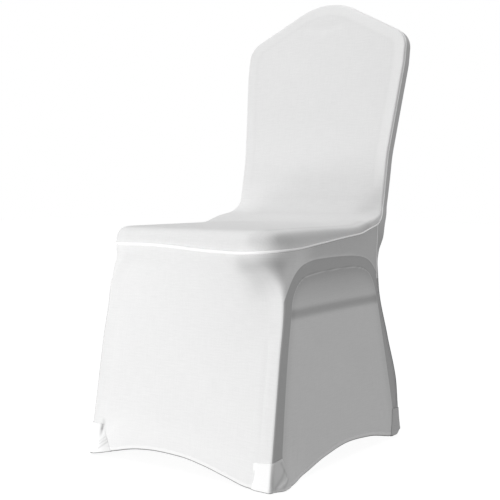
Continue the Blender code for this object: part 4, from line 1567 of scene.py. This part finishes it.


# Painted shade: under the front right corner of the seat, on the left front corner, in a crease by
# the left pocket, and near the rear seams under the seat
SKIRT_SHADES = {
    "front": (
        (-0.2140, 0.0650, -0.2120, 0.2600, 0.0140, 0.035),
        (-0.1925, 0.0560, -0.1920, 0.0700, 0.0030, 0.18),
        (0.1250, 0.3840, 0.2000, 0.4020, 0.0120, 0.03),
        (0.1350, 0.3920, 0.2000, 0.3960, 0.0190, 0.20),
        (0.1600, 0.3650, 0.2050, 0.3820, 0.0280, 0.19),
    ),
    "right side": (
        (-0.2300, 0.3700, -0.2000, 0.4150, 0.0300, 0.10),
        (0.1250, 0.3500, 0.1330, 0.4450, 0.0110, 0.22),
    ),
    "left side": (
        (0.1250, 0.3500, 0.1330, 0.4450, 0.0110, 0.22),
    ),
}
# Painted highlights: along the ridge above the band on the right side, and over the low front
SKIRT_LIGHTS = {
    "right side": (
        (-0.1643, 0.3862, -0.1301, 0.3995, 0.0018, 0.5),
        (-0.1301, 0.3995, -0.0672, 0.4005, 0.0018, 0.6),
        (-0.0672, 0.4005, 0.0266, 0.3993, 0.0018, 0.5),
    ),
    "front": (
        (-0.1900, 0.0300, -0.1700, 0.0480, 0.0260, 0.25),
        (-0.1300, 0.0700, 0.1500, 0.0300, 0.0300, 0.12),
    ),
}
above = skirt_above_hem()
shade = side_shade(skirt_mesh) + strokes(skirt_mesh, SKIRT_SHADES)
shade += EDGE_SHADE * soft(EDGE_LINE - above, EDGE_LINE_SOFT)
store(skirt_mesh, "shade", np.clip(shade, 0.0, 1.0))
store(skirt_mesh, "band", band_depth(skirt_mesh))
# Lighter: the doubled band above the hem, plus the painted highlights
light = HEM_LIGHT * soft(HEM_BAND - above, HEM_LIGHT_SOFT) + strokes(skirt_mesh, SKIRT_LIGHTS)
store(skirt_mesh, "doubled_and_highlight", np.clip(light, 0.0, 1.0))

# The back has a border just inside its seam, where the padding ends: a faint darker line
# and a lighter band, more so to the right. The whole back also gets a little painted shade.
BORDER = 0.025
BORDER_LINE = (0.020, 0.004)
BORDER_LIGHT = (0.06, 0.14)
BORDER_SOFT = 0.006
PAINTED_BACK_SHADE = 0.035
BACK_FROM = (0.05, 0.04)
EDGE_STEP = 3
# Painted shade: the low right corner of the back, just above the arc near the crown, the back of
# the seat, its right rim, and the rim at the front and at the right
SEAT_BACK_SHADES = {
    "back": (
        (0.1550, 0.4800, 0.2000, 0.5250, 0.0260, 0.12),
        (-0.0500, 0.8960, 0.0500, 0.8960, 0.0120, 0.020),
    ),
    "seat": (
        (-0.1000, 0.1450, 0.2000, 0.1450, 0.0260, 0.05),
        (0.1680, -0.2150, 0.1860, 0.0800, 0.0080, 0.10),
    ),
    "right side": (
        (-0.2200, 0.4400, 0.0800, 0.4500, 0.0140, 0.23),
    ),
    "front": (
        (0.1550, 0.4360, 0.2100, 0.4300, 0.0140, 0.13),
        (-0.2000, 0.4360, 0.1500, 0.4330, 0.0150, 0.05),
    ),
}
# Painted highlight: a short arc near the crown of the back
SEAT_BACK_LIGHTS = {
    "back": (
        (-0.0500, 0.8860, -0.0050, 0.8760, 0.0070, 0.10),
        (-0.0050, 0.8760, 0.0400, 0.8850, 0.0070, 0.10),
    ),
}
flat = np.zeros((len(seat_back_mesh.vertices), 2))
loop_points = np.zeros(len(seat_back_mesh.loops), np.int32)
seat_back_mesh.loops.foreach_get("vertex_index", loop_points)
loop_uv = np.zeros(len(seat_back_mesh.loops) * 2)
seat_back_mesh.uv_layers["cloth"].data.foreach_get("uv", loop_uv)
flat[loop_points] = loop_uv.reshape(-1, 2)
edge_places = np.array([place[:] for place in SEAM.edge[::EDGE_STEP]])
from_edge = inside_line(edge_places, flat)
on_back = soft_from(flat[:, 1] - along_seat(RAMP_END[0]), BACK_FROM)
line_shade, line_width = BORDER_LINE
shade = PAINTED_BACK_SHADE + line_shade * np.exp(-(((from_edge - BORDER) / line_width) ** 2))
store(seat_back_mesh, "shade", on_back * shade + strokes(seat_back_mesh, SEAT_BACK_SHADES))
least, more = BORDER_LIGHT
light = least + more * soft(mesh_points(seat_back_mesh)[:, 0], 0.30)
light *= on_back * soft(BORDER - from_edge, BORDER_SOFT)
store(seat_back_mesh, "doubled_and_highlight", light + strokes(seat_back_mesh, SEAT_BACK_LIGHTS))
store(seat_back_mesh, "band", np.full(len(seat_back_mesh.vertices), NO_BAND))

# The turned edge of the rear cloth gets painted shade, more so low down, and ends in the band
REAR_SIDE_SHADE = 0.28
REAR_LOW_SHADE = 0.14
REAR_LOW = (0.44, 0.08)
ASIDE = (0.5, 0.4)
REAR_BAND_LOOKS = 0.75
REAR_BAND_TURN = 0.02
REAR_BAND_TOP = 0.345
across, _, heights = mesh_points(rear_mesh).T
low = soft(REAR_LOW[0] - heights, REAR_LOW[1])
shade = (REAR_SIDE_SHADE + REAR_LOW_SHADE * low) * soft_from(sideways(rear_mesh), ASIDE)
store(rear_mesh, "shade", shade)
print("shaded points on the rear cloth", int((shade > 0.1).sum()))
above = heights - HEM_AT_FOOT
above -= REAR_HEM_RISE * np.clip(1.0 - (across / REAR_HALF_FLAT) ** 2, 0.0, 1.0)
store(rear_mesh, "doubled_and_highlight", HEM_LIGHT * soft(HEM_BAND - above, HEM_LIGHT_SOFT))
turned = (sideways(rear_mesh) - REAR_BAND_LOOKS) * REAR_BAND_TURN
store(rear_mesh, "band", np.minimum(turned, REAR_BAND_TOP - heights))

# Pockets: how their doubled cloth fades in from each upright edge; painted shade on their
# sides, on their lowest edge and in creases, and painted highlights on their ridges. The
# rear pockets keep little of the doubled white, as painted shade.
POCKET_FADE = {(-1, False): 0.50}
FIRM_FADE = 0.03
POCKET_LIGHT = {False: 1.0, True: 0.15}
POCKET_SIDE_SHADE = {False: 0.14, True: 0.34}
POCKET_SIDE_DIM = 0.55
POCKET_SHADES = {
    (1, False): {
        "right side": (
            (-0.2680, 0.0070, -0.2440, 0.0350, 0.0030, 0.16),
            (-0.2600, 0.0040, -0.2380, 0.0160, 0.0026, 0.14),
            (-0.2480, 0.0480, -0.2360, 0.0200, 0.0036, 0.16),
            (-0.2760, 0.0480, -0.2740, 0.0100, 0.0050, 0.16),
        ),
    },
    (-1, False): {
        "front": (
            (-0.1970, 0.0295, -0.1828, 0.0403, 0.0010, 0.22),
            (-0.1962, 0.0241, -0.1739, 0.0391, 0.0010, 0.20),
            (-0.1978, 0.0157, -0.1700, 0.0351, 0.0011, 0.22),
            (-0.1931, 0.0642, -0.1940, 0.0540, 0.0026, 0.30),
            (-0.1940, 0.0540, -0.1960, 0.0420, 0.0020, 0.12),
        ),
    },
}
POCKET_LIGHTS = {
    (1, False): {
        "right side": (
            (-0.2722, 0.0030, -0.2348, 0.0240, 0.0015, 0.90),
            (-0.2440, 0.0530, -0.2313, 0.0375, 0.0015, 1.00),
            (-0.2313, 0.0375, -0.2163, 0.0060, 0.0015, 1.00),
            (-0.2700, 0.0035, -0.2200, 0.0040, 0.0024, 1.00),
        ),
    },
    (1, True): {
        "right side": (
            (0.1735, 0.0560, 0.1866, 0.0349, 0.0014, 0.60),
            (0.1774, 0.0218, 0.2000, 0.0300, 0.0016, 0.60),
            (0.1700, 0.0630, 0.2000, 0.0590, 0.0012, 0.50),
        ),
    },
}
pocket_keys = [(side, at_rear) for at_rear in (False, True) for side in (1, -1)]
for (pocket, _), key in zip(foot_pockets, pocket_keys):
    mesh = pocket.data
    at_rear = key[1]
    row, column = np.divmod(np.arange(len(mesh.vertices)), POCKET_COLUMNS_ROUND + 1)
    fade = POCKET_FADE.get(key, FIRM_FADE)
    aside = soft_from(sideways(mesh), ASIDE)
    light = soft(column / POCKET_COLUMNS_ROUND - fade / 2.0, fade)
    light *= (1.0 - POCKET_SIDE_DIM * aside) * POCKET_LIGHT[at_rear]
    light += strokes(mesh, POCKET_LIGHTS.get(key, {}))
    store(mesh, "doubled_and_highlight", np.clip(light, 0.0, 1.0))
    dark = EDGE_SHADE * soft(2.0 - row, 2.0) + POCKET_SIDE_SHADE[at_rear] * aside
    dark += strokes(mesh, POCKET_SHADES.get(key, {}))
    store(mesh, "shade", np.clip(dark, 0.0, 1.0))
    store(mesh, "band", np.full(len(mesh.vertices), NO_BAND))

# %% [markdown]
# ## Knit
#
# The cloth is a very fine knit: rows of loops under a millimetre wide, too small to see
# one by one, but they break up the light and leave faint streaks along the rows. A node
# group makes the loops from two waves, and the streaks from a stretched noise. It reads
# the UV map, which is in metres, so every material that uses it has the same loops.

# %% Knit node group
class Tree:
    """A node tree that is built by short calls."""

    def __init__(self, tree):
        self.nodes = tree.nodes
        self.links = tree.links

    def feed(self, node, inputs):
        """Sets each named input of a node to a value, or links it to an output."""
        for name, value in inputs.items():
            if isinstance(value, bpy.types.NodeSocket):
                self.links.new(value, node.inputs[name])
            else:
                node.inputs[name].default_value = value

    def add(self, kind, inputs, **settings):
        """A new node with its settings and inputs; gives its outputs."""
        node = self.nodes.new(kind)
        for name, value in settings.items():
            setattr(node, name, value)
        self.feed(node, inputs)
        return node.outputs


LOOP_WIDTH = 0.0009
ROWS_PER_WALE = 1.35
YARN_NOISES = (
    # stretch, scale, detail and weight: streaks, wales, grain and patches
    ((0.10, 1.0, 1.0), 380.0, 3.0, 0.55),
    ((1.0, 0.08, 1.0), 330.0, 2.0, 0.35),
    ((1.0, 1.0, 1.0), 500.0, 2.0, 0.45),
    ((0.6, 1.0, 1.0), 9.0, 2.0, 0.30),
)


def knit_group():
    """Node group: UV in metres -> height of the loops and tone of the yarn."""
    group = bpy.data.node_groups.new("fine_knit", "ShaderNodeTree")
    face = group.interface
    face.new_socket("Cloth UV", in_out="INPUT", socket_type="NodeSocketVector")
    wale = face.new_socket("Loop Width", in_out="INPUT", socket_type="NodeSocketFloat")
    wale.default_value = LOOP_WIDTH
    for label in ("Loop Height", "Yarn Tone"):
        face.new_socket(label, in_out="OUTPUT", socket_type="NodeSocketFloat")
    tree = Tree(group)
    enter = tree.add("NodeGroupInput", {})

    def math_node(operation, first, second=None):
        inputs = {0: first} if second is None else {0: first, 1: second}
        return tree.add("ShaderNodeMath", inputs, operation=operation)[0]

    split = tree.add("ShaderNodeSeparateXYZ", {0: enter["Cloth UV"]})
    turns = math_node("DIVIDE", 2.0 * math.pi, enter["Loop Width"])
    wave_u = math_node("SINE", math_node("MULTIPLY", split["X"], turns))
    rows = math_node("MULTIPLY", split["Y"], math_node("MULTIPLY", turns, ROWS_PER_WALE))
    wave_v = math_node("SINE", math_node("ADD", rows, math_node("MULTIPLY", wave_u, 0.9)))
    half_u = math_node("MULTIPLY", wave_u, 0.5)
    loops = math_node("ADD", half_u, math_node("MULTIPLY", wave_v, 0.5))
    tone = None
    for stretch, scale, detail, weight in YARN_NOISES:
        where = tree.add("ShaderNodeMapping", {"Scale": stretch, "Vector": enter["Cloth UV"]})
        cloud = {"Scale": scale, "Detail": detail, "Vector": where[0]}
        cloud = tree.add("ShaderNodeTexNoise", cloud)["Fac"]
        part = math_node("MULTIPLY", math_node("SUBTRACT", cloud, 0.5), weight)
        tone = part if tone is None else math_node("ADD", tone, part)
    tree.add("NodeGroupOutput", {"Loop Height": loops, "Yarn Tone": tone})
    return group


KNIT = knit_group()
print("sockets", [item.name for item in KNIT.interface.items_tree])

# %% [markdown]
# ## Finishes
#
# Three whites: the single knit, the turned seam, which is thicker and brighter, its
# brighter white standing partly for the highlight it catches, and the doubled cloth of
# the pockets. Each is a matt Principled shader with a little sheen, and the knit group
# gives it its loops and streaks. Values stored on the cloth mix in painted shade, painted
# highlights, doubled cloth and the band that shows through.

# %% Cloth materials
# Dark mixed in for painted shade and for the band that shows through; white for doubled cloth and
# for painted highlights
SHADED = (0.02, 0.02, 0.022)
DOUBLED_AND_HIGHLIGHT = (0.96, 0.96, 0.96)
BAND_SHADE = 0.42
BAND_EDGE = 0.0010


LOOP_DEPTH = 0.0001
WHITE_KNIT = (0.80, 0.80, 0.80)
BRIGHT_SEAM = (0.98, 0.98, 0.98)
SEAM_LOOP_WIDTH = 0.0006


def new_material(name):
    """A new material, with its tree and its shader."""
    material = bpy.data.materials.new(name)
    material.use_nodes = True
    tree = material.node_tree
    return material, Tree(tree), tree.nodes["Principled BSDF"]


def cloth_material(name, white, tone_depth, loop_width=LOOP_WIDTH):
    """A white knit: its colour, how far its tone varies, and the width of its loops."""
    material, tree, shader = new_material(name)
    uv = tree.add("ShaderNodeUVMap", {}, uv_map="cloth")["UV"]
    knit = {"Cloth UV": uv, "Loop Width": loop_width}
    knit = tree.add("ShaderNodeGroup", knit, node_tree=KNIT)
    tone = tree.add("ShaderNodeMapRange", {
        "Value": knit["Yarn Tone"],
        "From Min": -0.5,
        "From Max": 0.5,
        "To Min": 1.0 - tone_depth,
        "To Max": 1.0 + tone_depth,
    })["Result"]
    colour = tree.add("ShaderNodeVectorMath", {0: white, "Scale": tone}, operation="SCALE")[0]
    for stored, other in (("doubled_and_highlight", DOUBLED_AND_HIGHLIGHT), ("shade", SHADED), ("band", SHADED)):
        amount = tree.add("ShaderNodeAttribute", {}, attribute_name=stored)["Fac"]
        if stored == "band":
            edge = {"Value": amount, "From Min": -BAND_EDGE, "From Max": BAND_EDGE}
            edge["To Max"] = BAND_SHADE
            settings = {"interpolation_type": "SMOOTHSTEP"}
            amount = tree.add("ShaderNodeMapRange", edge, **settings)["Result"]
        mix = {0: amount, 6: colour, 7: (*other, 1.0)}
        colour = tree.add("ShaderNodeMix", mix, data_type="RGBA")[2]
    bump = {"Strength": 0.35, "Distance": LOOP_DEPTH, "Height": knit["Loop Height"]}
    tree.feed(shader, {
        "Base Color": colour,
        "Roughness": 0.85,
        "Specular IOR Level": 0.2,
        "Sheen Weight": 0.15,
        "Sheen Roughness": 0.5,
        "Normal": tree.add("ShaderNodeBump", bump)["Normal"],
    })
    return material


white_knit = cloth_material("white_knit", WHITE_KNIT, 0.08)
# The seam's brighter white stands partly in for the highlight that it catches
bright_seam = cloth_material("bright_seam", BRIGHT_SEAM, 0.02, SEAM_LOOP_WIDTH)
doubled_knit = cloth_material("doubled_knit", WHITE_KNIT, 0.06)
for piece in (seat_back_cloth, skirt_cloth, rear_cloth):
    piece.data.materials.append(white_knit)
for piece in (seat_seam_band, back_seam_band, *rear_seam_bands):
    piece.data.materials.append(bright_seam)
    for stored in ("doubled_and_highlight", "shade"):
        store(piece.data, stored, np.zeros(len(piece.data.vertices)))
    heights = mesh_points(piece.data)[:, 2]
    top = REAR_BAND_TOP if piece in rear_seam_bands else NO_BAND
    store(piece.data, "band", top - heights)
for pocket, _ in foot_pockets:
    pocket.data.materials.append(doubled_knit)
print("materials", [m.name for m in bpy.data.materials])

# %% [markdown]
# ## Stitches
#
# The hems, the tops of the pockets and the cloth below the seat seam are held by rows of
# short stitches in white thread, which sit half sunk in the cloth. A Geometry Nodes tree
# walks along every row, sets a small oval on it at even steps and turns it along the
# row. The seed is fixed, so that the slight differences in length stay the same.

# %% Rows of stitches
THREAD_LIFT = 0.0001
REAR_STITCH_ROW = 6
POCKET_END_COLUMNS = 2


def line_on(mesh, numbers):
    """Points just above a cloth, along some of its points."""
    return [mesh.vertices[n].co + mesh.vertices[n].normal * THREAD_LIFT for n in numbers]


columns = len(skirt_places())
hem_row = BODY_ROWS + HEM_ROWS.index(0.0074)
rear_columns = rear_cloth_net.columns
rear_first = REAR_STITCH_ROW * rear_columns
stitch_rows = [
    line_on(skirt_mesh, range(columns, 2 * columns)),
    line_on(skirt_mesh, range(hem_row * columns, (hem_row + 1) * columns)),
    line_on(rear_mesh, range(rear_first, rear_first + rear_columns)),
]
pocket_columns = POCKET_COLUMNS_ROUND + 1
for pocket, _ in foot_pockets:
    first = (POCKET_ROWS_UP - 2) * pocket_columns + POCKET_END_COLUMNS
    last = first + pocket_columns - 2 * POCKET_END_COLUMNS
    stitch_rows.append(line_on(pocket.data, range(first, last)))

points = [point for row in stitch_rows for point in row]
edges = []
for row in stitch_rows:
    first = edges[-1][1] + 1 if edges else 0
    edges += [(first + step, first + step + 1) for step in range(len(row) - 1)]
line_mesh = bpy.data.meshes.new("stitch_rows")
line_mesh.from_pydata(points, edges, [])
print("rows of stitches", len(stitch_rows))


# %% Stitch tree
STITCH_SEED = 7
STITCH_INPUTS = (
    ("Spacing", "NodeSocketFloat", 0.0034),
    ("Stitch Length", "NodeSocketFloat", 0.0026),
    ("Thread Width", "NodeSocketFloat", 0.0006),
    ("Seed", "NodeSocketInt", STITCH_SEED),
    ("Thread", "NodeSocketMaterial", None),
)
LENGTH_RANGE = (0.88, 1.06)


def stitch_tree():
    """Geometry Nodes tree: lines -> a row of small thread ovals along each."""
    group = bpy.data.node_groups.new("stitch_row", "GeometryNodeTree")
    face = group.interface
    face.new_socket("Geometry", in_out="INPUT", socket_type="NodeSocketGeometry")
    for label, kind, value in STITCH_INPUTS:
        socket = face.new_socket(label, in_out="INPUT", socket_type=kind)
        if value is not None:
            socket.default_value = value
    face.new_socket("Geometry", in_out="OUTPUT", socket_type="NodeSocketGeometry")
    tree = Tree(group)
    enter = tree.add("NodeGroupInput", {})
    curve = tree.add("GeometryNodeMeshToCurve", {"Mesh": enter["Geometry"]})["Curve"]
    walk = {"Curve": curve, "Length": enter["Spacing"]}
    walk = tree.add("GeometryNodeCurveToPoints", walk, mode="LENGTH")
    turn = {"Vector": walk["Tangent"]}
    turn = tree.add("FunctionNodeAlignRotationToVector", turn, axis="X")["Rotation"]
    oval = tree.add("GeometryNodeMeshIcoSphere", {"Radius": 0.5, "Subdivisions": 1})["Mesh"]
    oval = tree.add("GeometryNodeSetShadeSmooth", {"Geometry": oval})["Geometry"]
    vary = {2: LENGTH_RANGE[0], 3: LENGTH_RANGE[1], "Seed": enter["Seed"]}
    vary = tree.add("FunctionNodeRandomValue", vary)[1]
    length = {0: enter["Stitch Length"], 1: vary}
    length = tree.add("ShaderNodeMath", length, operation="MULTIPLY")[0]
    width = enter["Thread Width"]
    size = tree.add("ShaderNodeCombineXYZ", {"X": length, "Y": width, "Z": width})["Vector"]
    row = {"Points": walk["Points"], "Instance": oval, "Rotation": turn, "Scale": size}
    row = tree.add("GeometryNodeInstanceOnPoints", row)["Instances"]
    row = tree.add("GeometryNodeRealizeInstances", {"Geometry": row})["Geometry"]
    row = {"Geometry": row, "Material": enter["Thread"]}
    row = tree.add("GeometryNodeSetMaterial", row)["Geometry"]
    tree.add("NodeGroupOutput", {"Geometry": row})
    return group


def thread_material():
    """White thread, a little uneven in tone along each row."""
    material, tree, shader = new_material("white_thread")
    where = tree.add("ShaderNodeTexCoord", {})["Object"]
    cloud = tree.add("ShaderNodeTexNoise", {"Scale": 160.0, "Vector": where})["Fac"]
    tone = {"Value": cloud, "To Min": 0.78, "To Max": 0.92}
    tone = tree.add("ShaderNodeMapRange", tone)["Result"]
    tree.feed(shader, {"Base Color": tone, "Roughness": 0.7, "Sheen Weight": 0.2})
    return material


# %% Stitches as a plain mesh
source = add_object("stitch_rows", line_mesh)
modifier = source.modifiers.new("stitches", "NODES")
tree = stitch_tree()
white_thread = thread_material()
modifier.node_group = tree
for item in tree.interface.items_tree:
    if item.in_out == "INPUT" and item.name == "Thread":
        modifier[item.identifier] = white_thread
    elif item.in_out == "INPUT" and item.name == "Seed":
        modifier[item.identifier] = STITCH_SEED
graph = bpy.context.evaluated_depsgraph_get()
stitch_mesh = bpy.data.meshes.new_from_object(source.evaluated_get(graph))
bpy.data.objects.remove(source)
stitch_mesh.materials.clear()
stitch_mesh.materials.append(white_thread)
stitch_mesh.polygons.foreach_set("material_index", [0] * len(stitch_mesh.polygons))
stitches = add_object("stitches", stitch_mesh)
OVAL_FACES = 20
print("stitches", len(stitch_mesh.polygons) // OVAL_FACES)

# %% [markdown]
# ## Floor and light
#
# The cover stands on a plain white floor in soft light. A large light low at the front
# left makes the front nearly white, a weaker one from above lights the seat, and the
# right side is left in even shade, as in the photograph. The floor gives a little light
# of its own and is hidden from bounced light, so that it stays white up to the hems.

# %% Floor and light
WHITE = (1.0, 1.0, 1.0, 1.0)
FLOOR_GREY = (0.22, 0.22, 0.22, 1.0)
FLOOR_GLOW = 0.91
FLOOR_REACH = 12.0
AMBIENT = 0.575

floor_mesh = bpy.data.meshes.new("floor")
floor_corners = [
    (x * FLOOR_REACH, y * FLOOR_REACH, 0.0) for x, y in ((-1, -1), (1, -1), (1, 1), (-1, 1))
]
floor_mesh.from_pydata(floor_corners, [], [(0, 1, 2, 3)])
floor = add_object("floor", floor_mesh)
floor.visible_diffuse = False
floor.visible_shadow = False
floor_material, tree, shader = new_material("floor")
tree.feed(shader, {
    "Base Color": FLOOR_GREY,
    "Roughness": 1.0,
    "Specular IOR Level": 0.0,
    "Emission Color": WHITE,
    "Emission Strength": FLOOR_GLOW,
})
floor_mesh.materials.append(floor_material)

world = bpy.data.worlds.new("studio")
world.use_nodes = True
tree = Tree(world.node_tree)
backdrop = tree.nodes["Background"]
tree.feed(backdrop, {"Color": WHITE, "Strength": 1.0})
to_camera = tree.add("ShaderNodeLightPath", {})["Is Camera Ray"]
ambient = tree.add("ShaderNodeBackground", {"Strength": AMBIENT})[0]
chosen = {0: to_camera, 1: ambient, 2: backdrop.outputs[0]}
chosen = tree.add("ShaderNodeMixShader", chosen)[0]
tree.feed(tree.nodes["World Output"], {"Surface": chosen})
bpy.context.scene.world = world
bpy.context.scene.view_settings.view_transform = "Standard"


def area_light(name, place, target, size, power):
    """A square soft white light that looks at a point."""
    data = bpy.data.lights.new(name, "AREA")
    data.size = size
    data.energy = power
    light = add_object(name, data)
    light.location = place
    looking = Vector(target) - Vector(place)
    light.rotation_euler = looking.to_track_quat("-Z", "Y").to_euler()


area_light("key", (-0.8, -2.3, 0.22), (0.0, 0.0, 0.35), 1.1, 34.5)
area_light("top", (0.0, 0.0, 2.6), (0.0, 0.0, 0.4), 1.2, 17.0)

# %% [markdown]
# ## Hand over to the frame
#
# Every piece rides on the one body of the cover and stands for its CAD node.

# %% Tie the pieces to the frame
PIECES = (
    (seat_back_cloth, ("seat_back_panel",), "stretch_cloth"),
    (skirt_cloth, ("skirt",), "stretch_cloth"),
    (rear_cloth, ("rear_panel_lower", "rear_panel_middle", "rear_panel_upper"), "stretch_cloth"),
    (seat_seam_band, ("seat_seam",), "seam_cord"),
    (back_seam_band, ("back_seam",), "seam_cord"),
    (rear_seam_bands[0], ("rear_seam_right",), "seam_cord"),
    (rear_seam_bands[1], ("rear_seam_left",), "seam_cord"),
)
PIECES += tuple((pocket, (node,), "pocket_cloth") for pocket, node in foot_pockets)
for piece, nodes, slot in PIECES:
    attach(piece, "root")
    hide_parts(*nodes)

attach(stitches, "root")

for pocket, node in foot_pockets:
    width = 0.060 if "rear" in node else 0.085
